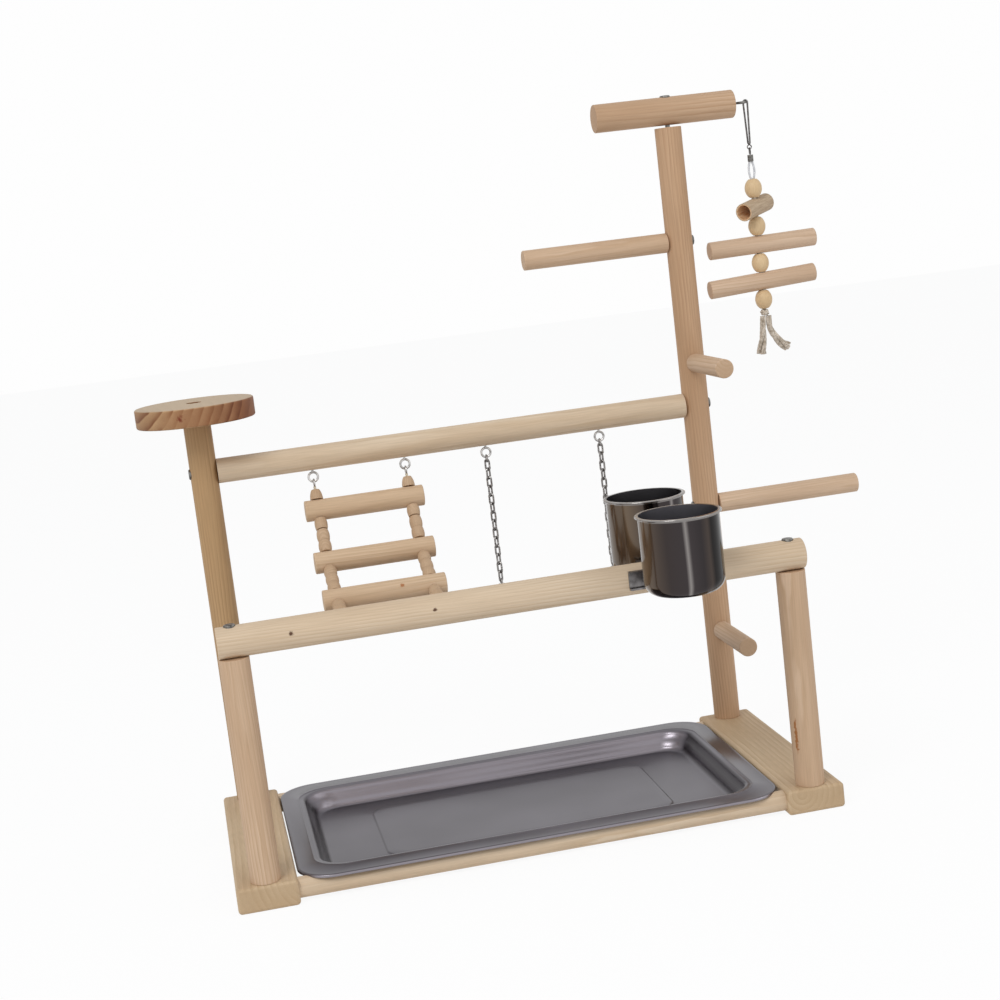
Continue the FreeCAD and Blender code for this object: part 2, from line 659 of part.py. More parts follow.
bolt_reach = f"({RAIL_R} + bracket_gauge)"
for side in cup_bolt_x:
    head_at = (cup_bolt_x[side], f"{FRONT_Y} - {bolt_reach}", BRACKET_Z)
    nut_at = (cup_bolt_x[side], f"{FRONT_Y} + {bolt_reach}", BRACKET_Z)
    head = bar(f"cup_bolt_head_{side}", "bracket_bolt_head", "bracket_bolt_head_height", head_at, FRONT)
    shank = bar(f"cup_bolt_shank_{side}", "bracket_bolt_shank",
                f"2 * {bolt_reach} + bracket_bolt_head_height", head_at, BACK)
    bolts.append(fuse(f"cup_bolt_{side}", [head, shank]))
    nut_blank = add("Part::Prism", f"cup_nut_blank_{side}", nut_at, turned(BACK),
                    Circumradius="bracket_bolt_head / 2", Height="bracket_bolt_head_height")
    nut_blank.Polygon = 6
    nut_bore = bar(f"cup_nut_bore_{side}", "bracket_bolt_shank + hole_clearance",
                   "bracket_bolt_head_height + 2",
                   (nut_at[0], f"{nut_at[1]} - 1", nut_at[2]), BACK)
    nuts.append(cut(f"cup_nut_{side}", nut_blank, [nut_bore]))
node("cup_bracket_bolts", bolts)
node("cup_bracket_nuts", nuts)

# ---- bridge of rungs: it hangs from the eyes under the upper rail to the eyes behind the front rail ----

# Seen from the side: the pins of the two eyes, and the rungs as shares of the reach and fall between.
UPPER_PIN_Z = f"({UPPER_SURFACE} - {EYE_REACH})"
LOWER_PIN_Y = f"({LOWER_SURFACE} + {EYE_REACH})"
RUNGS = range(1, 6)
BEADS = 3
rung_y = {number: f"({POST_Y} - rung_{number}_reach * ({POST_Y} - {LOWER_PIN_Y}))" for number in RUNGS}
rung_z = {number: f"({UPPER_PIN_Z} - rung_{number}_fall * ({UPPER_PIN_Z} - front_rail_height))"
          for number in RUNGS}


def spot(y, z, x="0"):
    return FreeCAD.Vector(value(x), value(y), value(z))


upper_pin = spot(POST_Y, UPPER_PIN_Z)
lower_pin = spot(LOWER_PIN_Y, "front_rail_height")
centres = {number: spot(rung_y[number], rung_z[number]) for number in RUNGS}
stops = [upper_pin] + [centres[number] for number in RUNGS] + [lower_pin]


def on_string(side, point):
    """The place texts of a point of the side view on one of the two strings."""
    return string_x[side], f"{point.y:.5f}", f"{point.z:.5f}"


for number in RUNGS:
    start = ("bridge_centre - rung_length / 2", rung_y[number], rung_z[number])
    soft = rounded(f"rung_{number}_soft", bar(f"rung_{number}_blank", "rung_diameter", "rung_length",
                                              start, RIGHT), "dowel_edge", circular)
    # Each string's hole is drilled from both sides, along the string's two runs.
    tools = []
    for side in string_x:
        for way, target in (("up", stops[number - 1]), ("down", stops[number + 1])):
            direction = (target - centres[number]).normalize()
            tools.append(bar(f"rung_{number}_bore_{side}_{way}", "string_diameter + 2 * string_clearance",
                             "rung_diameter", (string_x[side], rung_y[number], rung_z[number]), direction))
        tools.append(add("Part::Sphere", f"rung_{number}_bore_{side}_middle",
                         (string_x[side], rung_y[number], rung_z[number]),
                         Radius="string_diameter / 2 + string_clearance"))
    node(f"ladder_rung_{number}", [cut(f"rung_{number}", soft, tools)])


def barrel(name, length, diameter, curve, bore):
    """A barrel bead about its own origin: an ellipsoid cut flat at both ends, and its bore."""
    blank = add("Part::Ellipsoid", f"{name}_blank", Radius1=curve, Radius2=f"({diameter}) / 2",
                Radius3=f"({diameter}) / 2", Angle1=f"-asin(({length}) / 2 / ({curve}))",
                Angle2=f"asin(({length}) / 2 / ({curve}))")
    hole = bar(f"{name}_hole", bore, f"{length} + 2", ("0", "0", f"-({length}) / 2 - 1"), UP)
    return cut(name, blank, [hole])


def run_length(number):
    """The text for the distance between a rung and the next."""
    reach = f"({rung_y[number]} - {rung_y[number + 1]})"
    fall = f"({rung_z[number]} - {rung_z[number + 1]})"
    return f"sqrt({reach} ^ 2 + {fall} ^ 2)"


# Three beads fill the string between two rungs. Where the bridge bends as it sways, the gap between
# two of them is wider: after the first bead below rung 1, and before the last bead above rung 5.
HINGE_AFTER = {1: 1, 4: 2}
bead_groups = {"upper": [], "middle": [], "lower": []}
hinges = {}
for number in RUNGS[:-1]:
    slack = "4 * bead_gap"
    if number in HINGE_AFTER:
        slack = "(3 * bead_gap + bead_hinge_gap)"
    length = f"(({run_length(number)} - rung_diameter - {slack}) / {BEADS})"
    pattern = barrel(f"bridge_bead_{number}", length, "bead_diameter", "bead_curve",
                     "string_diameter + 2 * string_clearance")
    way = (centres[number + 1] - centres[number]).normalize()
    along = value("rung_diameter / 2 + bead_gap")
    for bead in range(1, BEADS + 1):
        middle = centres[number] + way * (along + value(length) / 2)
        along += value(f"{length} + bead_gap")
        if HINGE_AFTER.get(number) == bead:
            hinges[number] = centres[number] + way * (along + value("bead_hinge_gap / 2 - bead_gap"))
            along += value("bead_hinge_gap - bead_gap")
        group = "middle"
        if number == 1 and bead <= HINGE_AFTER[1]:
            group = "upper"
        if number == 4 and bead > HINGE_AFTER[4]:
            group = "lower"
        for side in string_x:
            bead_groups[group].append(copy(f"bridge_bead_{number}_{bead}_{side}", pattern,
                                           on_string(side, middle), turned(way)))

# The end beads above rung 1 are bells, narrow at the top.
bell_blank = add("Part::Ellipsoid", "end_bead_blank", Radius1="end_bead_curve / 2",
                 Radius2="end_bead_diameter / 2", Radius3="end_bead_diameter / 2", Angle1="0",
                 Angle2="asin(end_bead_length / (end_bead_curve / 2))")
bell_bore = bar("end_bead_hole", "string_diameter + 2 * string_clearance", "end_bead_length + 2",
                ("0", "0", "-1"), UP)
bell = cut("end_bead", bell_blank, [bell_bore])
up_way = (upper_pin - centres[1]).normalize()
bell_base = centres[1] + up_way * value("rung_diameter / 2 + bead_gap")
for side in string_x:
    bead_groups["upper"].append(copy(f"end_bead_{side}", bell, on_string(side, bell_base),
                                     turned(up_way)))
for group, beads in bead_groups.items():
    node(f"ladder_beads_{group}", beads)

# A small ring of wire hangs each string on its eye. The lower rings have room all round their pins.
down_way = (centres[5] - lower_pin).normalize()
upper_ring = upper_pin - up_way * value("hook_radius - hook_wire / 2 - eye_wire / 2 - chain_gap")
for place_name, centre, radius in (("upper", upper_ring, "hook_radius"),
                                   ("lower", lower_pin, "lower_hook_radius")):
    rings = []
    for side in string_x:
        rings.append(add("Part::Torus", f"bridge_hook_{place_name}_{side}", on_string(side, centre),
                         turned(RIGHT), Radius1=radius, Radius2="hook_wire / 2"))
    node(f"ladder_hooks_{place_name}", rings)

# The strings, in three stretches that part at the two bends.
ring_edge = value("hook_radius + hook_wire / 2 + chain_gap")
lower_edge = value("lower_hook_radius + hook_wire / 2 + chain_gap")
half_gap = value("bead_hinge_gap / 2 - bead_gap")


def toward(start, target, distance):
    return start + (target - start).normalize() * distance


stretches = {
    "upper": [upper_ring - up_way * ring_edge, centres[1], toward(hinges[1], centres[1], half_gap)],
    "middle": [toward(hinges[1], centres[2], half_gap), centres[2], centres[3], centres[4],
               toward(hinges[4], centres[4], half_gap)],
    "lower": [toward(hinges[4], centres[5], half_gap), centres[5], lower_pin + down_way * lower_edge],
}
string_radius = value("string_diameter / 2")
for group, points in stretches.items():
    strings = []
    for side in string_x:
        shift = FreeCAD.Vector(value(string_x[side]), 0, 0)
        runs = [Part.makeCylinder(string_radius, first.distanceToPoint(last), first + shift, last - first)
                for first, last in zip(points, points[1:])]
        knees = [Part.makeSphere(string_radius, point + shift) for point in points[1:-1]]
        strings.append(drawn(f"bridge_string_{group}_{side}", runs[0].multiFuse(runs[1:] + knees)))
    node(f"ladder_strings_{group}", strings)

# ---- swing: two chains from eyes under the upper rail to eyes in the perch ----


def wire_link(name, length, width, wire):
    """A long link of round wire about its own origin, upright, its flat side to the front."""
    bend = f"(({width}) - ({wire})) / 2"
    straight = f"(({length}) - ({width}))"
    pieces = []
    for side, sign in SIDES:
        low = (f"{sign} * {bend}", "0", f"-{straight} / 2")
        pieces.append(bar(f"{name}_{side}", wire, straight, low, UP))
    for end, sign in (("top", 1), ("bottom", -1)):
        # Half a ring, turned so that it arches over the link's end.
        arch = add("Part::Torus", f"{name}_{end}", ("0", "0", f"{sign} * {straight} / 2"),
                   FreeCAD.Rotation(RIGHT, 90 * sign), Radius1=bend, Radius2=f"({wire}) / 2")
        arch.Angle3 = 180
        pieces.append(arch)
    return fuse(name, pieces)


RING_DROP = "(jump_ring_radius - jump_ring_wire / 2 - eye_wire / 2 - chain_gap)"
RING_PIN = f"({RING_DROP} + jump_ring_radius)"
LINK_HOLD = "(jump_ring_wire / 2 + chain_wire / 2 + jump_ring_hold)"
CHAIN_TOP = f"({UPPER_PIN_Z} - {RING_PIN} + {LINK_HOLD})"
LINK_SPAN = "(chain_pitch + chain_wire + chain_gap)"
CHAIN_BOTTOM = f"({CHAIN_TOP} - chain_links * chain_pitch - chain_wire - chain_gap)"
PERCH_PIN_Z = f"({CHAIN_BOTTOM} + {LINK_HOLD} - {RING_PIN})"
SWING_SURFACE = f"({PERCH_PIN_Z} - {EYE_REACH})"
SWING_PERCH_Z = f"({SWING_SURFACE} - swing_perch_diameter / 2)"
chain_link = wire_link("chain_link", f"{LINK_SPAN} + chain_wire", "chain_link_width", "chain_wire")
perch_eyes, perch_bores = [], []
upside_down = FreeCAD.Rotation(BACK, 180)
for side in ("left", "right"):
    x = f"swing_{side}"
    chain = []
    for end, centre_z in (("top", f"{UPPER_PIN_Z} - {RING_DROP}"),
                          ("bottom", f"{PERCH_PIN_Z} + {RING_DROP}")):
        chain.append(add("Part::Torus", f"jump_ring_{side}_{end}", (x, POST_Y, centre_z), turned(RIGHT),
                         Radius1="jump_ring_radius", Radius2="jump_ring_wire / 2"))
    for number in range(int(value("chain_links"))):
        # Each link is turned a quarter from the last, half way between the front and the side.
        turn = FreeCAD.Rotation(UP, 45 if number % 2 else -45)
        middle = f"{CHAIN_TOP} - {number} * chain_pitch - {LINK_SPAN} / 2"
        chain.append(copy(f"chain_{side}_{number + 1}", chain_link, (x, POST_Y, middle), turn))
    node(f"swing_chain_{side}", chain)
    perch_eyes.append(copy(f"perch_eye_{side}", frame_eye, (x, POST_Y, SWING_SURFACE), upside_down))
    perch_bores.append(eye_bore(f"perch_eye_bore_{side}", (x, POST_Y, SWING_SURFACE), DOWN))
node("swing_perch_eyes", perch_eyes)
swing_blank = bar("swing_perch_blank", "swing_perch_diameter",
                  "swing_right - swing_left + 2 * swing_perch_overhang",
                  ("swing_left - swing_perch_overhang", POST_Y, SWING_PERCH_Z), RIGHT)
swing_soft = rounded("swing_perch_soft", swing_blank, "dowel_edge", circular)
node("swing_perch", [cut("swing_perch_drilled", swing_soft, perch_bores)])

# ---- hanging toy: hook, link, ferrule, clear loop, and a rope through beads, tube and sticks ----

TOY_X = f"({POST_X} + top_perch_right + toy_eye_neck + 2 * eye_radius + eye_wire / 2)"
toy_x = value(TOY_X)
toy_y = value(POST_Y)
hook_wire = value("toy_hook_wire")
hook_top = value("top_perch_height + eye_wire / 2 + toy_hook_wire / 2 + chain_gap")
hook_bottom = value("top_perch_height + eye_wire / 2 + toy_hook_wire + chain_gap - toy_hook_length"
                    " + toy_hook_wire / 2")
top_radius = value("(toy_hook_top - toy_hook_wire) / 2")
bottom_radius = value("(toy_hook_bottom - toy_hook_wire) / 2")


def toy_point(x, z):
    return FreeCAD.Vector(toy_x + x, toy_y, z)


# The hook is a slim closed loop of wire, wider at its top, with a small ring at its foot.
hook_edges = [
    Part.Arc(toy_point(-top_radius, hook_top - top_radius), toy_point(0, hook_top),
             toy_point(top_radius, hook_top - top_radius)).toShape(),
    Part.LineSegment(toy_point(top_radius, hook_top - top_radius),
                     toy_point(bottom_radius, hook_bottom + bottom_radius)).toShape(),
    Part.Arc(toy_point(bottom_radius, hook_bottom + bottom_radius), toy_point(0, hook_bottom),
             toy_point(-bottom_radius, hook_bottom + bottom_radius)).toShape(),
    Part.LineSegment(toy_point(-bottom_radius, hook_bottom + bottom_radius),
                     toy_point(-top_radius, hook_top - top_radius)).toShape(),
]
hook_path = Part.Wire(Part.__sortEdges__(hook_edges))
hook_start = hook_edges[0].valueAt(hook_edges[0].FirstParameter)
hook_loop = drawn("toy_hook_loop", tube(hook_path, hook_wire, hook_start, UP))
HOOK_FOOT = "(top_perch_height + eye_wire / 2 + toy_hook_wire + chain_gap - toy_hook_length)"
HOOK_RING_Z = f"({HOOK_FOOT} + toy_ring_weld - toy_ring_radius - toy_ring_wire / 2)"
hook_ring = add("Part::Torus", "toy_hook_ring", (TOY_X, POST_Y, HOOK_RING_Z), turned(FRONT),
                Radius1="toy_ring_radius", Radius2="toy_ring_wire / 2")
node("toy_snap_hook", [fuse("toy_hook", [hook_loop, hook_ring])])

HOOK_PIN_Z = f"({HOOK_RING_Z} - toy_ring_radius)"
LINK_TOP = f"({HOOK_PIN_Z} + toy_ring_wire / 2 + toy_link_wire + chain_gap)"
FERRULE_TOP = f"({LINK_TOP} - toy_link_length)"
LOOP_TOP = f"({FERRULE_TOP} - ferrule_length)"
ROPE_TOP = f"({LOOP_TOP} - toy_loop_length)"
toy_link = wire_link("toy_link_pattern", "toy_link_length", "toy_link_width", "toy_link_wire")
quarter = FreeCAD.Rotation(UP, 90)
node("toy_link", [copy("toy_link_placed", toy_link, (TOY_X, POST_Y, f"{LINK_TOP} - toy_link_length / 2"),
                       quarter)])
ferrule = bar("toy_ferrule_blank", "ferrule_diameter", "ferrule_length", (TOY_X, POST_Y, LOOP_TOP), UP)
node("toy_ferrule", [rounded("toy_ferrule_soft", ferrule, "dowel_edge / 2", circular)])

strands = []
for side, sign in SIDES:
    foot = value("toy_loop_strand / 2 + toy_loop_part / 2") * sign
    bow = value("toy_loop_spread") * sign
    top_z, foot_z = value(LOOP_TOP), value(ROPE_TOP)
    arc = Part.Arc(toy_point(foot, top_z), toy_point(bow, (top_z + foot_z) / 2), toy_point(foot, foot_z))
    strand = tube(Part.Wire(arc.toShape()), value("toy_loop_strand"), toy_point(foot, top_z),
                  arc.toShape().tangentAt(arc.FirstParameter))
    # Both ends are level, where the strand meets the ferrule and the rope.
    reach = value("toy_loop_spread + toy_loop_strand")
    corner = toy_point(-reach, foot_z) - BACK * reach
    between = Part.makeBox(2 * reach, 2 * reach, top_z - foot_z, corner)
    strands.append(drawn(f"toy_loop_{side}", strand.common(between)))
node("toy_loop", strands)

STICK_STEP = "(toy_bead_height + toy_stick_diameter + 2 * toy_gap)"
TUBE_STEP = "(toy_bead_height + toy_tube_diameter + 2 * toy_tube_gap)"
bead_z = {0: f"({ROPE_TOP} - toy_bead_height / 2)"}
held_z = {}
for number, step in enumerate((TUBE_STEP, STICK_STEP, STICK_STEP)):
    held_z[number] = f"({bead_z[number]} - {step} / 2)"
    bead_z[number + 1] = f"({bead_z[number]} - {step})"
ROPE_BORE = "(toy_rope_diameter + 2 * toy_rope_clearance)"
bead_curve = "(toy_bead_height / 2 / sqrt(1 - (toy_bead_flat / toy_bead_diameter) ^ 2))"
toy_bead = barrel("toy_bead", "toy_bead_height", "toy_bead_diameter", bead_curve, ROPE_BORE)
node("toy_beads", [copy(f"toy_bead_{number + 1}", toy_bead, (TOY_X, POST_Y, bead_z[number]))
                   for number in bead_z])

KNOT_TOP = f"({bead_z[3]} - toy_bead_height / 2 - toy_gap)"
node("toy_rope", [bar("toy_rope_core", "toy_rope_diameter", f"{ROPE_TOP} - {KNOT_TOP}",
                      (TOY_X, POST_Y, KNOT_TOP), UP)])
knot_middle = (TOY_X, POST_Y, f"{KNOT_TOP} - knot_height / 2 + knot_top_flat")
knot_blank = add("Part::Ellipsoid", "toy_knot_blank", knot_middle, Radius1="knot_height / 2",
                 Radius2="knot_diameter / 2", Radius3="knot_diameter / 2")
knot_top_trim = bar("toy_knot_trim", "knot_diameter", "knot_height", (TOY_X, POST_Y, KNOT_TOP), UP)
KNOT_FOOT = f"({KNOT_TOP} - knot_height + knot_top_flat + knot_foot_flat)"
knot_foot_trim = bar("toy_knot_foot_trim", "knot_diameter * 2", "knot_height",
                     (TOY_X, POST_Y, KNOT_FOOT), DOWN)
node("toy_knot", [cut("toy_knot_tied", knot_blank, [knot_top_trim, knot_foot_trim])])

turn, tilt = value("toy_tube_turn"), value("toy_tube_tilt")
tube_way = FreeCAD.Rotation(turn, tilt, 0).multVec(RIGHT)
tube_half = tube_way * value("toy_tube_length / 2")
tube_start = tuple(f"{text} - ({offset:.4f}) * toy_tube_length / 2" for text, offset in
                   zip((TOY_X, POST_Y, held_z[0]), tube_way))
tube_bore_start = tuple(f"{text} - ({offset:.4f}) * (toy_tube_length / 2 + 1)" for text, offset in
                        zip((TOY_X, POST_Y, held_z[0]), tube_way))
tube_blank = bar("toy_tube_blank", "toy_tube_diameter", "toy_tube_length", tube_start, tube_way)
tube_core = bar("toy_tube_core", "toy_tube_diameter - 2 * toy_tube_wall", "toy_tube_length + 2",
                tube_bore_start, tube_way)
tube_cross = bar("toy_tube_cross", ROPE_BORE, "2 * toy_tube_diameter",
                 (TOY_X, POST_Y, f"{held_z[0]} - toy_tube_diameter"), UP)
node("toy_tube", [cut("toy_tube_drilled", tube_blank, [tube_core, tube_cross])])

for number, name in ((1, "upper"), (2, "lower")):
    tilt = value(f"{name}_stick_tilt")
    way = FreeCAD.Rotation(BACK, -tilt).multVec(RIGHT)
    along = f"({name}_stick_shift - toy_stick_length / 2)"
    start = tuple(f"{text} + ({offset:.5f}) * {along}" for text, offset in
                  zip((TOY_X, POST_Y, held_z[number]), way))
    blank = bar(f"{name}_stick_blank", "toy_stick_diameter", "toy_stick_length", start, way)
    soft = rounded(f"{name}_stick_soft", blank, "dowel_edge", circular)
    cross = bar(f"{name}_stick_cross", ROPE_BORE, "2 * toy_stick_diameter",
                (TOY_X, POST_Y, f"{held_z[number]} - toy_stick_diameter"), UP)
    node(f"toy_stick_{name}", [cut(f"{name}_stick", soft, [cross])])

# The rope's two tails fall from the knot: routes as offsets from the toy's axis and from the knot's foot.
TAILS = {
    "left": ((-2.7, 0, 0), (-2.7, 0, -7), (-3.6, -0.6, -15), (-5.4, -0.2, -24), (-6.2, 0.4, -33)),
    "right": ((2.7, 0, 0), (2.7, 0, -7), (4.3, 0.3, -14), (7.8, 0, -20.5), (12.7, -0.6, -25.8),
              (18.3, -0.4, -29.8)),
}
tail_diameter = value("tail_diameter")
knot_foot = value(KNOT_FOOT)
for side, offsets in TAILS.items():
    points = [FreeCAD.Vector(toy_x + x, toy_y + y, knot_foot + z) for x, y, z in offsets]
    path = wire_path(points)
    shape = tube(path, tail_diameter, points[0], points[1] - points[0])
    swept = math.pi * tail_diameter ** 2 / 4 * path.Length
    print(f"tail {side}: length {path.Length:.1f}, volume {shape.Volume:.1f}, section by length {swept:.1f}")
    node(f"toy_tail_{side}", [drawn(f"toy_tail_{side}_rope", shape)])

# ---- check every object, then write each sub-part ----

doc.recompute()
for piece in doc.Objects:
    if "Invalid" in piece.State or "Error" in piece.State:
        raise RuntimeError(f"{piece.Name} failed: {piece.State}")
for piece in nodes:
    if piece.Shape.isNull() or not piece.Shape.isValid():
        raise RuntimeError(f"{piece.Label} has no valid shape")

os.makedirs("parts", exist_ok=True)
for piece in nodes:
    piece.Shape.exportStep(f"parts/{piece.Label}.step")
for name, point in (("upper pin", upper_pin), ("hinge 1", hinges[1]), ("hinge 2", hinges[4]),
                    ("lower pin", lower_pin)):
    print(name, [round(number, 2) for number in point])
print(f"toy axis x {toy_x:.2f}, hook pin z {value(HOOK_PIN_Z):.2f}")
print(f"swing perch pin z {value(PERCH_PIN_Z):.2f}")
print(f"{len(nodes)} nodes, {sum(len(piece.Shape.Solids) for piece in nodes)} solids")
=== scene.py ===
import json
import math

import bpy
import numpy as np
from mathutils import Matrix, Quaternion, Vector


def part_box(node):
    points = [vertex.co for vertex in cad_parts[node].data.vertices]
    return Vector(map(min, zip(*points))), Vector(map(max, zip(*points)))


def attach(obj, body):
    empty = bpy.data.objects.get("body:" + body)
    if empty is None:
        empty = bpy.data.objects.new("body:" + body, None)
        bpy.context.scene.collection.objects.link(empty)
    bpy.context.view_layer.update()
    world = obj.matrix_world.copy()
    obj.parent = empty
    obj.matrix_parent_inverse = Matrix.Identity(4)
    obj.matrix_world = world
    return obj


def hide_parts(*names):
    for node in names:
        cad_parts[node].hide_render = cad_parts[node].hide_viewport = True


# Looks of the parrot play stand: bare pine dowels, pressed and spun steel, chain, cotton rope.
# Lengths are in metres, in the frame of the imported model; MM turns a size in millimetres to metres.

MM = 0.001
RIGHT = Vector((1, 0, 0))
BACK = Vector((0, 1, 0))
UP = Vector((0, 0, 1))

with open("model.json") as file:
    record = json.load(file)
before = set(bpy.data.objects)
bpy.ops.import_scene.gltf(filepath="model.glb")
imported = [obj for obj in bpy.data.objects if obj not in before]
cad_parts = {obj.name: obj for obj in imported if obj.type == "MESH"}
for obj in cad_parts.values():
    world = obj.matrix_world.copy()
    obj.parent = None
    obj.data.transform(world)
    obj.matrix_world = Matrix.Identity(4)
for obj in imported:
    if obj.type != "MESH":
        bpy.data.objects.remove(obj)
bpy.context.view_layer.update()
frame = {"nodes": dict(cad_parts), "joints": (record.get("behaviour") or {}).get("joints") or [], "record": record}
bodies = frame["record"]["behaviour"]["bodies"]
body_of_node = {name: body for body, names in bodies.items() for name in names}


# ---- small helpers ----

def srgb(code):
    """A colour written as an sRGB hex value, as linear red, green, blue and alpha."""
    shares = [int(code[start:start + 2], 16) / 255 for start in (1, 3, 5)]
    linear = [share / 12.92 if share <= 0.04045 else ((share + 0.055) / 1.055) ** 2.4 for share in shares]
    return (*linear, 1)


def add(tree, kind, links=None, stops=None, **settings):
    """Adds a node with its settings. Links give a socket of it either another node's socket or a value."""
    made = tree.nodes.new(kind)
    for name, setting in settings.items():
        setattr(made, name, setting)
    if stops:
        ramp = made.color_ramp
        while len(ramp.elements) < len(stops):
            ramp.elements.new(0.5)
        for element, (place, colour) in zip(ramp.elements, stops):
            element.position = place
            element.color = colour if len(colour) == 4 else (*colour, 1)
    for socket, source in (links or {}).items():
        if isinstance(source, bpy.types.NodeSocket):
            tree.links.new(source, made.inputs[socket])
        else:
            made.inputs[socket].default_value = source
    return made


def finish_named(name, **sockets):
    """A new material with its tree, its Principled shader and its Object coordinates."""
    made = bpy.data.materials.new(name)
    made.use_nodes = True
    tree = made.node_tree
    shader = next(piece for piece in tree.nodes if piece.type == "BSDF_PRINCIPLED")
    for socket, value in sockets.items():
        shader.inputs[socket.replace("_", " ")].default_value = value
    place = tree.nodes.new("ShaderNodeTexCoord")
    return made, tree, shader, place


def dress(name, material):
    """Gives a carried-over node its material."""
    mesh = frame["nodes"][name].data
    mesh.materials.clear()
    mesh.materials.append(material)


def middle(name):
    """The middle of a node's box."""
    low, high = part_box(name)
    return (low + high) / 2


def settle(piece, name, material, stands_for):
    """Names a new piece, gives it its material and lets it ride where the node that it stands for does."""
    piece.name = name
    piece.data.name = name
    piece.data.materials.clear()
    piece.data.materials.append(material)
    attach(piece, body_of_node[stands_for])
    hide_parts(stands_for)
    return piece


def start_piece():
    """Object mode with nothing selected."""
    if bpy.context.object and bpy.context.object.mode != "OBJECT":
        bpy.ops.object.mode_set(mode="OBJECT")
    bpy.ops.object.select_all(action="DESELECT")


def apply_place(piece):
    """Puts the place, turn and scale of an object into its mesh."""
    start_piece()
    piece.select_set(True)
    bpy.context.view_layer.objects.active = piece
    bpy.ops.object.transform_apply(location=True, rotation=True, scale=True)


# ---- wood ----

ALONG = {"x": (0, math.radians(90), 0), "y": (math.radians(-90), 0, 0), "z": (0, 0, 0)}
AXIS = {"x": RIGHT, "y": BACK, "z": UP}


def marked(tree, place, colour, marks):
    """Lays knots and streaks over a colour. A mark is a place and half sizes in millimetres, and a colour."""
    for spot, half_sizes, code in marks:
        away = add(tree, "ShaderNodeVectorMath", {0: place.outputs["Object"], 1: [v * MM for v in spot]},
                   operation="SUBTRACT")
        shares = add(tree, "ShaderNodeVectorMath", {0: away.outputs[0], 1: [v * MM for v in half_sizes]},
                     operation="DIVIDE")
        ragged = add(tree, "ShaderNodeTexNoise", {"Vector": place.outputs["Object"], "Scale": 420,
                                                  "Detail": 2})
        reach = add(tree, "ShaderNodeVectorMath", {0: shares.outputs[0]}, operation="LENGTH")
        edge = add(tree, "ShaderNodeMath", {0: reach.outputs["Value"], 1: ragged.outputs["Fac"]},
                   operation="ADD")
        cover = add(tree, "ShaderNodeValToRGB", {"Fac": edge.outputs[0]},
                    stops=[(0.75, (1, 1, 1)), (1.5, (0, 0, 0))])
        mixed = add(tree, "ShaderNodeMix", {0: cover.outputs["Color"], 6: colour, 7: srgb(code)},
                    data_type="RGBA")
        colour = mixed.outputs[2]
    return colour


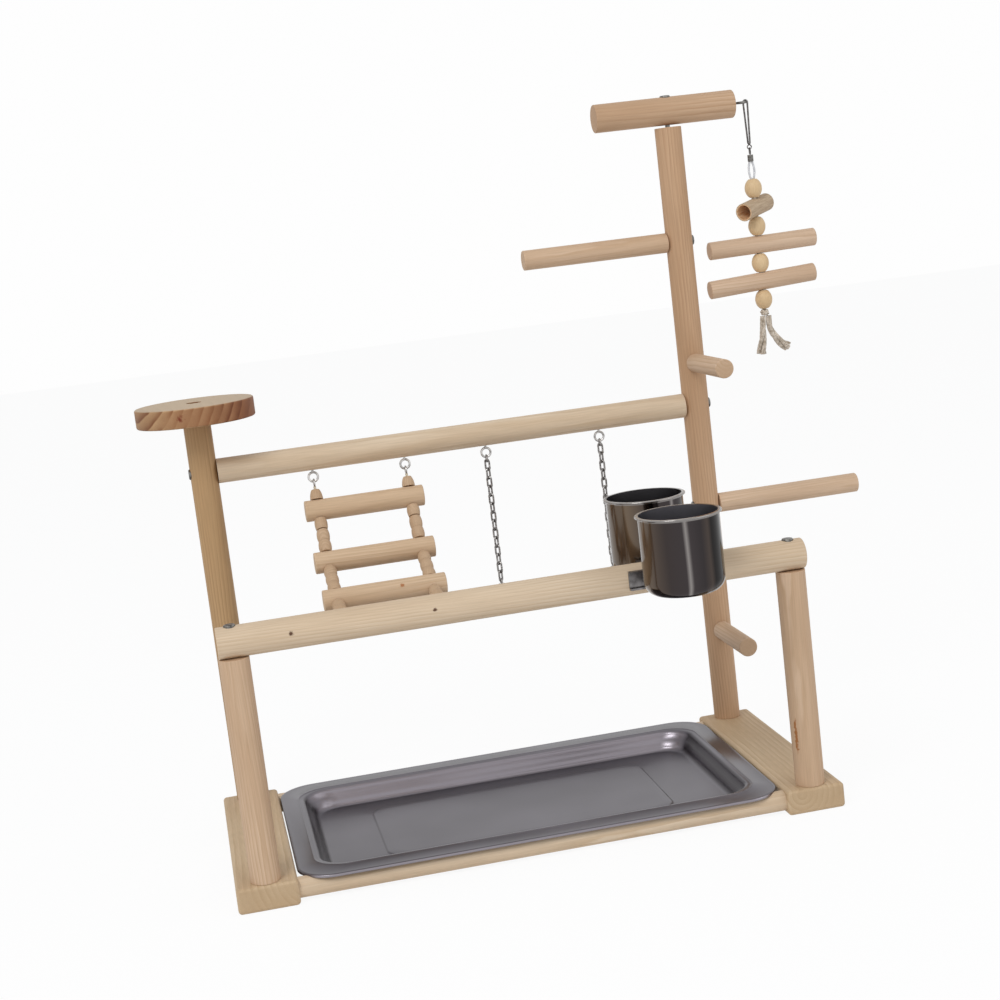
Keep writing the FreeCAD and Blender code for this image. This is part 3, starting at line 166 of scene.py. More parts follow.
def pine(name, along, pale, late, pith, ring=3.0, slope=(0.012, 0.016), contrast=0.62, end=0.9, gloss=0.58,
         marks=()):
    """Sawn and sanded softwood: growth rings about a pith line, drawn out along the piece, and fine fibres.

    Pith is a point on the pith line and ring the width of a year's growth, both in millimetres."""
    made, tree, shader, place = finish_named(name)
    turn = ALONG[along]
    lean = (turn[0] + slope[0], turn[1] + slope[1], turn[2])
    log = add(tree, "ShaderNodeMapping", {"Vector": place.outputs["Object"],
                                          "Location": [v * MM for v in pith], "Rotation": lean,
                                          "Scale": (1, 1, 5)}, vector_type="TEXTURE")
    rings = add(tree, "ShaderNodeTexWave", {"Vector": log.outputs[0], "Scale": 0.31416 / (ring * MM),
                                            "Distortion": 4.6, "Detail": 3, "Detail Scale": 0.45,
                                            "Detail Roughness": 0.6},
                wave_type="RINGS", rings_direction="Z", wave_profile="SAW")
    early, summer = srgb(pale), srgb(late)
    between = tuple(a + (b - a) * 0.4 * contrast for a, b in zip(early, summer))
    darkest = tuple(a + (b - a) * contrast for a, b in zip(early, summer))
    years = add(tree, "ShaderNodeValToRGB", {"Fac": rings.outputs["Fac"]},
                stops=[(0.0, early), (0.45, between), (0.86, darkest), (0.97, early)])
    # The rings are sharp in some places and almost gone in others.
    patches = add(tree, "ShaderNodeTexNoise", {"Vector": log.outputs[0], "Scale": 60, "Detail": 1})
    clear = add(tree, "ShaderNodeMapRange", {"Value": patches.outputs["Fac"], "From Min": 0.38,
                                             "From Max": 0.66, "To Min": 0.15, "To Max": 1})
    grown = add(tree, "ShaderNodeMix", {0: clear.outputs[0], 6: between, 7: years.outputs[0]},
                data_type="RGBA")
    fibres_place = add(tree, "ShaderNodeVectorMath", {0: log.outputs[0], 1: (1, 1, 0.09)},
                       operation="MULTIPLY")
    fibres = add(tree, "ShaderNodeTexNoise", {"Vector": fibres_place.outputs[0], "Scale": 1500, "Detail": 3,
                                              "Roughness": 0.6})
    fibre_tone = add(tree, "ShaderNodeValToRGB", {"Fac": fibres.outputs["Fac"]},
                     stops=[(0.3, (0.86, 0.85, 0.83)), (0.62, (1.04, 1.04, 1.04))])
    clouds = add(tree, "ShaderNodeTexNoise", {"Vector": log.outputs[0], "Scale": 36, "Detail": 2})
    cloud_tone = add(tree, "ShaderNodeValToRGB", {"Fac": clouds.outputs["Fac"]},
                     stops=[(0.32, (0.90, 0.86, 0.82)), (0.66, (1.03, 1.04, 1.06))])
    fibred = add(tree, "ShaderNodeMix", {0: 0.75, 6: grown.outputs[2], 7: fibre_tone.outputs[0]},
                 data_type="RGBA", blend_type="MULTIPLY")
    clouded = add(tree, "ShaderNodeMix", {0: 0.85, 6: fibred.outputs[2], 7: cloud_tone.outputs[0]},
                  data_type="RGBA", blend_type="MULTIPLY")
    # End grain drinks more light: the cut ends are a little darker.
    facing = add(tree, "ShaderNodeVectorMath", {0: place.outputs["Normal"], 1: AXIS[along]},
                 operation="DOT_PRODUCT")
    squarely = add(tree, "ShaderNodeMath", {0: facing.outputs["Value"]}, operation="ABSOLUTE")
    cut_end = add(tree, "ShaderNodeMapRange", {"Value": squarely.outputs[0], "From Min": 0.8,
                                               "From Max": 0.95, "To Min": 0, "To Max": 0.45})
    ended = add(tree, "ShaderNodeMix", {0: cut_end.outputs[0], 6: clouded.outputs[2],
                                        7: tuple(v * end for v in darkest[:3]) + (1,)}, data_type="RGBA")
    tree.links.new(marked(tree, place, ended.outputs[2], marks), shader.inputs["Base Color"])
    rough = add(tree, "ShaderNodeMapRange", {"Value": fibres.outputs["Fac"], "To Min": gloss - 0.06,
                                             "To Max": gloss + 0.14})
    tree.links.new(rough.outputs[0], shader.inputs["Roughness"])
    swell = add(tree, "ShaderNodeMath", {0: rings.outputs["Fac"], 1: 0.3, 2: fibres.outputs["Fac"]},
                operation="MULTIPLY_ADD")
    bump = add(tree, "ShaderNodeBump", {"Height": swell.outputs[0], "Strength": 0.25, "Distance": 0.1 * MM})
    tree.links.new(bump.outputs[0], shader.inputs["Normal"])
    shader.inputs["Specular IOR Level"].default_value = 0.35
    return made


def pith_beside(name, number, reach):
    """A pith point beside a node: each piece was cut from another place in the log."""
    turn = number * 2.4
    centre = middle(name) / MM
    away = Vector((math.cos(turn), math.sin(turn), math.sin(turn + 1))) * reach
    return tuple(centre + away)


# The front rail has two pin knots on its front, the third rung a red one; the right front post has a
# streak of resin low on its left, and the platform's rim has a knot.
RAIL_FRONT_Y = -119
RAIL_KNOTS = [((-173, RAIL_FRONT_Y, 207), (4.2, 5, 3.8), "#5E4230"),
              ((-65, RAIL_FRONT_Y, 208), (3.8, 5, 3.4), "#5E4230")]
RUNG_KNOT = [((-72, 16, 203), (4, 6, 3.4), "#B0764C")]
RESIN_STREAK = [((207, -113, 62), (3.4, 4, 30), "#A06A3C")]
PLATFORM_KNOT = [((-229, 60, 358), (7, 7, 7), "#7A3A20")]
PLATFORM_PITH = (-318, 107, 424)

# Each kind of piece: its early wood, and its late wood.
TONES = {
    "rail": ("#DECAB0", "#C3A682"),
    "post": ("#C8A583", "#AA8260"),
    "aged": ("#BE9B71", "#98764E"),
    "perch": ("#D2B598", "#B5926E"),
    "fresh": ("#DABFA4", "#BC9C7A"),
    "turned": ("#C9AC8D", "#AC8D6C"),
    "warm": ("#C9A98A", "#A67F5B"),
    "rung": ("#D8BD9E", "#BE9D79"),
    "stick": ("#D4B89D", "#B89878"),
    "bead": ("#DFC39A", "#C9A777"),
    "block": ("#CFB796", "#AD8E69"),
    "platform": ("#C9A57C", "#85532F"),
}

# Each dowel: the way it lies, its tone, how far off its middle the pith was in millimetres, and its marks.
DOWELS = [
    ("front_rail", "x", "rail", 18, RAIL_KNOTS),
    ("upper_rail", "x", "rail", 31, ()),
    ("post_front_left", "z", "perch", 16, ()),
    ("post_front_right", "z", "perch", 20, RESIN_STREAK),
    ("post_rear_left", "z", "aged", 24, ()),
    ("post_rear_right", "z", "post", 17, ()),
    ("front_tray_dowel", "x", "rail", 15, ()),
    ("rear_tray_dowel", "x", "rail", 19, ()),
    ("top_perch", "x", "warm", 21, ()),
    ("left_perch", "x", "perch", 14, ()),
    ("right_perch", "x", "fresh", 18, ()),
    ("upper_peg", "y", "perch", 12, ()),
    ("lower_peg", "y", "perch", 15, ()),
    ("swing_perch", "x", "rung", 13, ()),
    ("ladder_rung_1", "x", "rung", 14, ()),
    ("ladder_rung_2", "x", "rung", 19, ()),
    ("ladder_rung_3", "x", "rung", 12, RUNG_KNOT),
    ("ladder_rung_4", "x", "rung", 16, ()),
    ("ladder_rung_5", "x", "rung", 21, ()),
    ("toy_stick_upper", "x", "stick", 13, ()),
    ("toy_stick_lower", "x", "stick", 17, ()),
]


def dress_dowels():
    """Each dowel's pine, with its own ring width and its own slope of the grain."""
    for number, (name, along, tone, reach, marks) in enumerate(DOWELS):
        pale, late = TONES[tone]
        ring = 2.4 + 0.9 * ((number * 0.618) % 1)
        slope = (0.02 * math.sin(number), 0.02 * math.cos(number * 1.7))
        dress(name, pine(f"sanded_pine_{name}", along, pale, late, pith_beside(name, number, reach), ring,
                         slope, marks=marks))


def dress_small_wood():
    """The beads, the base blocks, the platform and the tube."""
    for number, name in enumerate(("ladder_beads_upper", "ladder_beads_middle", "ladder_beads_lower")):
        dress(name, pine(f"turned_birch_{name}", "z", *TONES["turned"], pith_beside(name, number, 55), 2.2,
                         contrast=0.5, end=0.95))
    dress("toy_beads", pine("turned_birch_toy_beads", "z", *TONES["bead"], pith_beside("toy_beads", 3, 20),
                            2.4, contrast=0.35, end=0.95, gloss=0.45))
    for number, name in enumerate(("base_block_left", "base_block_right")):
        dress(name, pine(f"sawn_pine_{name}", "y", *TONES["block"], pith_beside(name, number + 5, 45), 4.6,
                         (0.05, 0.03), contrast=0.6, end=0.95))
    dress("perch_platform", platform_wood())
    dress("toy_tube", tube_wood())


def platform_wood():
    """The round platform, sawn from a wide board: bold red-brown rings across its rim, painted shade that darkens
    the rim towards its left, a lighter middle, a rim darker and redder towards its right, and a plain, greyer top."""
    made = pine("sawn_pine_platform", "y", *TONES["platform"], PLATFORM_PITH, 7.6, (0.16, 0.05),
                contrast=1.0, end=1.05, marks=PLATFORM_KNOT)
    tree = made.node_tree
    shader = next(piece for piece in tree.nodes if piece.type == "BSDF_PRINCIPLED")
    place = next(piece for piece in tree.nodes if piece.type == "TEX_COORD")
    low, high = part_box("perch_platform")
    grain = shader.inputs["Base Color"].links[0].from_socket
    spot = add(tree, "ShaderNodeSeparateXYZ", {0: place.outputs["Object"]})
    along = add(tree, "ShaderNodeMapRange", {"Value": spot.outputs["X"], "From Min": low.x,
                                             "From Max": high.x})
    # Painted shade: the rim is darker towards its left end and lighter in its middle; towards its right it turns
    # darker and redder.
    rim_shade_and_tone = add(tree, "ShaderNodeValToRGB", {"Fac": along.outputs[0]},
                stops=[(0.08, (0.72, 0.66, 0.61)), (0.3, (0.95, 0.93, 0.89)), (0.6, (0.88, 0.81, 0.76)),
                       (0.85, (0.55, 0.36, 0.29))])
    rim = add(tree, "ShaderNodeMix", {0: 1.0, 6: grain, 7: rim_shade_and_tone.outputs[0]}, data_type="RGBA",
              blend_type="MULTIPLY")
    facing = add(tree, "ShaderNodeSeparateXYZ", {0: place.outputs["Normal"]})
    # Faces that look up take a plain, greyer colour.
    worn = add(tree, "ShaderNodeMapRange", {"Value": facing.outputs["Z"], "From Min": 0.6, "From Max": 0.95,
                                            "To Min": 0, "To Max": 0.86})
    topped = add(tree, "ShaderNodeMix", {0: worn.outputs[0], 6: rim.outputs[2], 7: srgb("#BFAB90")},
                 data_type="RGBA")
    tree.links.new(topped.outputs[2], shader.inputs["Base Color"])
    return made


# The tube's own axis: its turn about up and its tilt below level. Its bore's colour ends between the radii.
TUBE_TURN = math.radians(222)
TUBE_TILT = math.radians(9)
TUBE_RADII = (6.5 * MM, 7.6 * MM)


def tube_wood():
    """Thin wooden tube: grey-brown and fibrous outside, orange-brown where its bore was drilled, lightened with
    painted light where the bore's inner wall is lit.
    """
    made, tree, shader, place = finish_named("drilled_wood_tube", Roughness=0.7)
    centre = middle("toy_tube")
    level = math.cos(TUBE_TILT)
    way = Vector((math.cos(TUBE_TURN) * level, math.sin(TUBE_TURN) * level, -math.sin(TUBE_TILT)))
    laid = way.to_track_quat("Z", "Y").to_euler()
    log = add(tree, "ShaderNodeMapping", {"Vector": place.outputs["Object"], "Location": centre,
                                          "Rotation": laid, "Scale": (1, 1, 1)}, vector_type="TEXTURE")
    across = add(tree, "ShaderNodeVectorMath", {0: log.outputs[0], 1: (1, 1, 0)}, operation="MULTIPLY")
    reach = add(tree, "ShaderNodeVectorMath", {0: across.outputs[0]}, operation="LENGTH")
    inner, outer = TUBE_RADII
    depth = add(tree, "ShaderNodeMapRange", {"Value": reach.outputs["Value"], "From Min": inner,
                                             "From Max": outer})
    streaks_place = add(tree, "ShaderNodeVectorMath", {0: log.outputs[0], 1: (1, 1, 0.1)},
                        operation="MULTIPLY")
    streaks = add(tree, "ShaderNodeTexNoise", {"Vector": streaks_place.outputs[0], "Scale": 900, "Detail": 3})
    outside = add(tree, "ShaderNodeValToRGB", {"Fac": streaks.outputs["Fac"]},
                  stops=[(0.3, srgb("#A48C71")), (0.7, srgb("#C4AE92"))])
    # The bore's orange-brown is lightened with painted light, standing in for its lit inner wall.
    bore = add(tree, "ShaderNodeValToRGB", {"Fac": streaks.outputs["Fac"]},
               stops=[(0.3, srgb("#D2A070")), (0.7, srgb("#EBCBA4"))])
    colour = add(tree, "ShaderNodeMix", {0: depth.outputs[0], 6: bore.outputs[0], 7: outside.outputs[0]},
                 data_type="RGBA")
    tree.links.new(colour.outputs[2], shader.inputs["Base Color"])
    bump = add(tree, "ShaderNodeBump", {"Height": streaks.outputs["Fac"], "Strength": 0.4,
                                        "Distance": 0.15 * MM})
    tree.links.new(bump.outputs[0], shader.inputs["Normal"])
    return made


# ---- metal ----

def plated_steel(name, bright, dull, rough, spot=2.5):
    """Zinc or nickel plated steel: bright, with slight clouding where the plating is thin."""
    made, tree, shader, place = finish_named(name, Metallic=1.0)
    clouds = add(tree, "ShaderNodeTexNoise", {"Vector": place.outputs["Object"], "Scale": 1 / (spot * MM),
                                              "Detail": 3, "Roughness": 0.6})
    colour = add(tree, "ShaderNodeValToRGB", {"Fac": clouds.outputs["Fac"]},
                 stops=[(0.35, srgb(dull)), (0.62, srgb(bright))])
    tree.links.new(colour.outputs[0], shader.inputs["Base Color"])
    rub = add(tree, "ShaderNodeMapRange", {"Value": clouds.outputs["Fac"], "To Min": rough + 0.1,
                                           "To Max": rough - 0.05})
    tree.links.new(rub.outputs[0], shader.inputs["Roughness"])
    return made


def tray_steel():
    """Deep-pressed stainless steel sheet, mill finish: fine rolling lines along its length, soft gloss. The
    walls that face the sides are darkened with a painted reflection of the dark wood beside them, and the faces
    that look forward, such as the back wall, are lightened with a painted reflection of the light."""
    made, tree, shader, place = finish_named("pressed_stainless_steel", Metallic=1.0)
    drawn = add(tree, "ShaderNodeMapping", {"Vector": place.outputs["Object"], "Scale": (6, 900, 60)})
    lines = add(tree, "ShaderNodeTexNoise", {"Vector": drawn.outputs[0], "Scale": 1, "Detail": 4,
                                             "Roughness": 0.7})
    broad = add(tree, "ShaderNodeTexNoise", {"Vector": place.outputs["Object"], "Scale": 9, "Detail": 2})
    both = add(tree, "ShaderNodeMath", {0: lines.outputs["Fac"], 1: 0.35, 2: broad.outputs["Fac"]},
               operation="MULTIPLY_ADD")
    level = add(tree, "ShaderNodeValToRGB", {"Fac": both.outputs[0]},
                stops=[(0.45, srgb("#59565B")), (0.9, srgb("#6A676D"))])
    # Painted reflections: faces that look to the sides are darkened, as if mirroring the dark wood beside them,
    # and faces that look forward are lightened, as if mirroring the light.
    sides = add(tree, "ShaderNodeSeparateXYZ", {0: place.outputs["Normal"]})
    sideways = add(tree, "ShaderNodeMath", {0: sides.outputs["X"]}, operation="ABSOLUTE")
    dark = add(tree, "ShaderNodeMapRange", {"Value": sideways.outputs[0], "From Min": 0.25, "From Max": 0.75})
    forward = add(tree, "ShaderNodeMath", {0: sides.outputs["Y"], 1: -1}, operation="MULTIPLY")
    light = add(tree, "ShaderNodeMapRange", {"Value": forward.outputs[0], "From Min": 0.25, "From Max": 0.75})
    side_painted_reflection = add(tree, "ShaderNodeMix", {0: dark.outputs[0], 6: level.outputs[0], 7: srgb("#322E32")},
                 data_type="RGBA")
    colour = add(tree, "ShaderNodeMix", {0: light.outputs[0], 6: side_painted_reflection.outputs[2], 7: srgb("#8F8A91")},
                 data_type="RGBA")
    tree.links.new(colour.outputs[2], shader.inputs["Base Color"])
    rough = add(tree, "ShaderNodeMapRange", {"Value": lines.outputs["Fac"], "To Min": 0.28, "To Max": 0.36})
    tree.links.new(rough.outputs[0], shader.inputs["Roughness"])
    bump = add(tree, "ShaderNodeBump", {"Height": lines.outputs["Fac"], "Strength": 0.02,
                                        "Distance": 0.05 * MM})
    tree.links.new(bump.outputs[0], shader.inputs["Normal"])
    return made


# Round a polished cup, from its left by way of its front: the painted reflections on its wall, as shares of a
# turn.
CUP_PAINTED_REFLECTIONS = [
    (0.00, "#62564B"), (0.03, "#6F6153"), (0.09, "#554B44"), (0.15, "#403A39"), (0.215, "#413C3D"),
    (0.227, "#8E8987"), (0.24, "#433E3F"), (0.29, "#3A3637"), (0.32, "#4C4440"), (0.34, "#2B2929"),
    (0.40, "#262525"), (0.51, "#232222"), (0.56, "#6E6968"), (0.62, "#3F3B3C"), (0.70, "#8B8786"),
    (0.78, "#4A4545"), (0.87, "#645C58"), (0.95, "#3E3938"), (1.00, "#62564B"),
]
CUP_RIM = 2.2 * MM
# How far the painted reflection bands wander, in radians.
CUP_RIPPLE = 0.12


def cup_steel(name, node_name, centre_y, turn, inside_painted_tone):
    """Drawn and polished stainless steel cup: painted reflections in tall bands of light and dark all round, as
    polished walls have between a room's walls and windows, a painted highlight on the rolled rim, and a duller
    inside whose colour is painted light and shade."""
    made, tree, shader, place = finish_named(name, Metallic=1.0)
    low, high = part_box(node_name)
    centred = add(tree, "ShaderNodeVectorMath", {0: place.outputs["Object"],
                                                 1: ((low.x + high.x) / 2, centre_y, high.z)},
                  operation="SUBTRACT")
    flat = add(tree, "ShaderNodeVectorMath", {0: centred.outputs[0], 1: (1, 1, 0)}, operation="MULTIPLY")
    round_way = add(tree, "ShaderNodeVectorMath", {0: flat.outputs[0]}, operation="NORMALIZE")
    parts = add(tree, "ShaderNodeSeparateXYZ", {0: centred.outputs[0]})
    angle = add(tree, "ShaderNodeMath", {0: parts.outputs["Y"], 1: parts.outputs["X"]}, operation="ARCTAN2")
    ripple_place = add(tree, "ShaderNodeVectorMath", {0: centred.outputs[0], 1: (60, 60, 14)},
                       operation="MULTIPLY")
    ripple = add(tree, "ShaderNodeTexNoise", {"Vector": ripple_place.outputs[0], "Scale": 1, "Detail": 1})
    bent = add(tree, "ShaderNodeMath", {0: ripple.outputs["Fac"], 1: CUP_RIPPLE, 2: angle.outputs[0]},
               operation="MULTIPLY_ADD")
    front = CUP_RIPPLE / 2 - turn
    share = add(tree, "ShaderNodeMapRange", {"Value": bent.outputs[0], "From Min": front - math.pi,
                                             "From Max": front + math.pi})
    # Painted reflections: light and dark bands by angle round the cup.
    bands = add(tree, "ShaderNodeValToRGB", {"Fac": share.outputs[0]},
                stops=[(at, srgb(code)) for at, code in CUP_PAINTED_REFLECTIONS])
    # Painted highlight: a lighter band along the rolled rim.
    rim = add(tree, "ShaderNodeMapRange", {"Value": parts.outputs["Z"], "From Min": -1.2 * CUP_RIM,
                                           "From Max": -CUP_RIM})
    with_rim_highlight_painted = add(tree, "ShaderNodeMix", {0: rim.outputs[0], 6: bands.outputs[0], 7: srgb("#8D8987")},
                 data_type="RGBA")
    # A face is inside where it looks at the cup's axis, or up from below the rim.
    outward = add(tree, "ShaderNodeVectorMath", {0: place.outputs["Normal"], 1: round_way.outputs[0]},
                  operation="DOT_PRODUCT")
    normal = add(tree, "ShaderNodeSeparateXYZ", {0: place.outputs["Normal"]})
    below = add(tree, "ShaderNodeMath", {0: 1, 1: rim.outputs[0]}, operation="SUBTRACT")
    floor = add(tree, "ShaderNodeMath", {0: normal.outputs["Z"], 1: below.outputs[0]}, operation="MULTIPLY")
    looks_in = add(tree, "ShaderNodeMath", {0: floor.outputs[0], 1: outward.outputs["Value"]},
                   operation="SUBTRACT")
    inside = add(tree, "ShaderNodeMapRange", {"Value": looks_in.outputs[0], "From Min": 0.3, "From Max": 0.5})
    # The inside takes its own painted light and shade, a colour for each cup.
    colour = add(tree, "ShaderNodeMix", {0: inside.outputs[0], 6: with_rim_highlight_painted.outputs[2], 7: srgb(inside_painted_tone)},
                 data_type="RGBA")
    tree.links.new(colour.outputs[2], shader.inputs["Base Color"])
    rough = add(tree, "ShaderNodeMapRange", {"Value": inside.outputs[0], "To Min": 0.14, "To Max": 0.34})
    tree.links.new(rough.outputs[0], shader.inputs["Roughness"])
    return made


# Each cup's own middle from front to back, how far round its painted reflection bands are turned, and the
# painted light and shade of its inside.
CUPS = {"front_cup": (-154.5 * MM, 0, "#88868C"), "rear_cup": (-59.5 * MM, -0.62, "#5F5D60")}


def dress_metal():
    """The plated small parts, the brackets and the cups."""
    zinc = plated_steel("zinc_plated_steel", "#D8D6D4", "#9C9A99", 0.28)
    dark = plated_steel("dark_zinc_plated_steel", "#8A8884", "#4E4A47", 0.38)
    worn = plated_steel("worn_nickel_plated_steel", "#817E7C", "#4E4B4A", 0.3, 2)
    nickel = plated_steel("nickel_plated_steel", "#B4B1AF", "#4E4B4A", 0.24, 1.4)
    sheet = plated_steel("bent_steel_sheet", "#8E8B8B", "#6A6767", 0.3, 6)
    for name in ("ladder_screw_eyes_upper", "ladder_screw_eyes_lower", "swing_screw_eyes",
                 "ladder_hooks_upper", "ladder_hooks_lower", "swing_perch_eyes"):
        dress(name, zinc)
    for name in ("toy_snap_hook", "toy_link"):
        dress(name, worn)
    for name in ("frame_screws", "top_perch_screw", "platform_bolt", "toy_screw_eye", "toy_ferrule",
                 "cup_bracket_bolts", "cup_bracket_nuts"):
        dress(name, dark)
    for name in ("swing_chain_left", "swing_chain_right"):
        dress(name, nickel)
    for name in ("front_cup_bracket", "rear_cup_bracket"):
        dress(name, sheet)
    for name, (centre_y, turn, inside_painted_tone) in CUPS.items():
        dress(name, cup_steel(f"polished_steel_{name}", name, centre_y, turn, inside_painted_tone))


# ---- rope ----

def cotton(name, pale, dark, along=260):
    """Twisted cotton: matt, off-white, with stray fibres and a little dirt in the lay."""
    made, tree, shader, place = finish_named(name, Roughness=0.92)
    shader.inputs["Sheen Weight"].default_value = 0.25
    shader.inputs["Specular IOR Level"].default_value = 0.2
    stains = add(tree, "ShaderNodeTexNoise", {"Vector": place.outputs["Object"], "Scale": along, "Detail": 4,
                                              "Roughness": 0.65})
    colour = add(tree, "ShaderNodeValToRGB", {"Fac": stains.outputs["Fac"]},
                 stops=[(0.36, srgb(dark)), (0.58, srgb(pale))])
    tree.links.new(colour.outputs[0], shader.inputs["Base Color"])
    fuzz = add(tree, "ShaderNodeTexNoise", {"Vector": place.outputs["Object"], "Scale": 4000, "Detail": 2})
    bump = add(tree, "ShaderNodeBump", {"Height": fuzz.outputs["Fac"], "Strength": 0.5, "Distance": 0.1 * MM})
    tree.links.new(bump.outputs[0], shader.inputs["Normal"])
    return made


def smooth_line(points, closed=False):
    """Points along the NURBS spline of a route, which needs no bevel for this."""
    curve = bpy.data.curves.new("route", "CURVE")
    curve.dimensions = "3D"
    curve.resolution_u = 12
    spline = curve.splines.new("NURBS")
    spline.points.add(len(points) - 1)
    for knot, point in zip(spline.points, points):
        knot.co = (*point, 1)
    spline.order_u = 3
    spline.use_cyclic_u = closed
    spline.use_endpoint_u = not closed
    route = bpy.data.objects.new("route", curve)
    bpy.context.scene.collection.objects.link(route)
    bpy.context.view_layer.update()
    mesh = bpy.data.meshes.new_from_object(route.evaluated_get(bpy.context.evaluated_depsgraph_get()))
    line = [vertex.co.copy() for vertex in mesh.vertices]
    bpy.data.objects.remove(route)
    bpy.data.curves.remove(curve)
    bpy.data.meshes.remove(mesh)
    return line


def evenly(line, step):
    """The same line with points a step apart."""
    places = np.array(line)
    run = np.concatenate([[0], np.cumsum(np.linalg.norm(np.diff(places, axis=0), axis=1))])
    count = max(2, round(run[-1] / step) + 1)
    at = np.linspace(0, run[-1], count)
    return [Vector([np.interp(value, run, places[:, axis]) for axis in range(3)]) for value in at]


# A frayed rope opens from this share of its length, along this power of what is left, and its yarns swell
# by this share of its flare. A yarn's own lay is a share of its strand's.
FRAY_START = 0.25
FRAY_POWER = 1.3
FRAY_SWELL = 0.6
YARN_LAY = 0.45


def packed_radius(radius, count):
    """The radius of each of some round strands that together fill a round rope."""
    return radius / (1 + 1 / math.sin(math.pi / count)) if count > 1 else radius


def twist_rope(line, radius, strands, lay, yarns=1, flare=0.0):
    """Strands that wind about a line, one turn in each lay; with yarns, each strand is itself wound.

    Flare is how much wider the rope opens at its far end. Gives a list of lines and the yarns' radius."""
    side = (line[1] - line[0]).orthogonal().normalized()
    run = 0.0
    total = sum((b - a).length for a, b in zip(line, line[1:]))
    paths = [[] for _ in range(strands * yarns)]
    strand_radius = packed_radius(radius, strands)
    core = radius - strand_radius
    yarn_radius = packed_radius(strand_radius, yarns)
    for number, point in enumerate(line):
        ahead = (line[min(number + 1, len(line) - 1)] - line[max(number - 1, 0)]).normalized()
        side = (side - side.dot(ahead) * ahead).normalized()
        if number:
            run += (point - line[number - 1]).length
        opened = max(0.0, (run / total - FRAY_START) / (1 - FRAY_START))
        open_up = 1 + flare * opened ** FRAY_POWER
        for strand in range(strands):
            angle = 2 * math.pi * (run / lay + strand / strands)
            out = Quaternion(ahead, angle) @ side
            centre = point + out * core * open_up
            for yarn in range(yarns):
                turn = -2 * math.pi * (run / (lay * YARN_LAY) - yarn / yarns)
                reach = (strand_radius - yarn_radius) * open_up
                off = Quaternion(ahead, turn) @ side * reach
                paths[strand * yarns + yarn].append(centre + off)
    return paths, yarn_radius


def strand_mesh(name, paths, radius, sides=3, closed=False):
    """One mesh of round strands along the paths, with closed ends."""
    curve = bpy.data.curves.new(name, "CURVE")
    curve.dimensions = "3D"
    curve.bevel_depth = radius
    curve.bevel_resolution = sides
    curve.use_fill_caps = not closed
    for path in paths:
        spline = curve.splines.new("POLY")
        spline.points.add(len(path) - 1)
        for knot, point in zip(spline.points, path):
            knot.co = (*point, 1)
        spline.use_cyclic_u = closed
        spline.use_smooth = True
    piece = bpy.data.objects.new(name, curve)
    bpy.context.scene.collection.objects.link(piece)
    start_piece()
    piece.select_set(True)
    bpy.context.view_layer.objects.active = piece
    bpy.ops.object.convert(target="MESH")
    return bpy.context.object


def rope_piece(name, line, diameter, strands, lay, stands_for, material, yarns=1, flare=0.0, closed=False):
    """A twisted rope along a line, as the piece that takes a node's place."""
    step = min(0.12 * lay, 0.5 * diameter)
    even = evenly(line, step)
    paths, thin = twist_rope(even, diameter / 2, strands, lay, yarns, flare)
    if closed:
        paths = [path[:-1] for path in paths]
    piece = strand_mesh(name, paths, thin * (1 + FRAY_SWELL * flare), 2 if yarns > 1 else 3, closed)
    return settle(piece, name, material, stands_for)


# The tails' routes, as offsets in millimetres from the toy's axis and the knot's foot.
TAILS = {
    "left": ((-2.7, 0, 0), (-2.7, 0, -7), (-3.6, -0.6, -15), (-5.4, -0.2, -24), (-6.2, 0.4, -33)),
    "right": ((2.7, 0, 0), (2.7, 0, -7), (4.3, 0.3, -14), (7.8, 0, -20.5), (12.7, -0.6, -25.8),
              (18.3, -0.4, -29.8)),
}
TAIL_DIAMETER = 5.2 * MM
TAIL_LAY = 60 * MM
TAIL_YARNS = 7
TAIL_FLARE = 0.95
ROPE_LAY = 9 * MM
KNOT_ROPE = 3.4 * MM
KNOT_LAY = 7 * MM
KNOT_POINTS = 24


def tie_rope():
    """The toy's rope through its beads, the knot under them and the two tails."""
    soft = cotton("twisted_cotton_rope", "#DCD2C4", "#B3A491")
    toy = middle("toy_rope")
    low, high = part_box("toy_rope")
    core = [Vector((toy.x, toy.y, high.z)), Vector((toy.x, toy.y, low.z))]
    rope_piece("toy_rope_twisted", core, high.x - low.x, 3, ROPE_LAY, "toy_rope", soft)

    low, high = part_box("toy_knot")
    centre = (low + high) / 2
    reach = (high.x - low.x) / 2
    swing = (reach - KNOT_ROPE / 2) / 3
    rise = (high.z - low.z) / 2 - KNOT_ROPE / 2
    loops = []
    for step in range(KNOT_POINTS):
        turn = 2 * math.pi * step / KNOT_POINTS
        loops.append(centre + Vector((swing * (math.sin(turn) + 2 * math.sin(2 * turn)),
                                      swing * (math.cos(turn) - 2 * math.cos(2 * turn)),
                                      -rise * math.sin(3 * turn))))
    line = smooth_line(loops, closed=True)
    line.append(line[0].copy())
    rope_piece("toy_knot_tied", line, KNOT_ROPE, 3, KNOT_LAY, "toy_knot", soft, closed=True)

    fringe = cotton("loose_cotton_rope", "#D6CABB", "#A99B88")
    foot = Vector((toy.x, toy.y, low.z))
    for side, offsets in TAILS.items():
        points = [foot + Vector(offset) * MM for offset in offsets]
        line = smooth_line(points)
        tail = rope_piece(f"rope_tail_{side}", line, TAIL_DIAMETER, 3, TAIL_LAY, f"toy_tail_{side}", fringe,
                          yarns=TAIL_YARNS, flare=TAIL_FLARE)


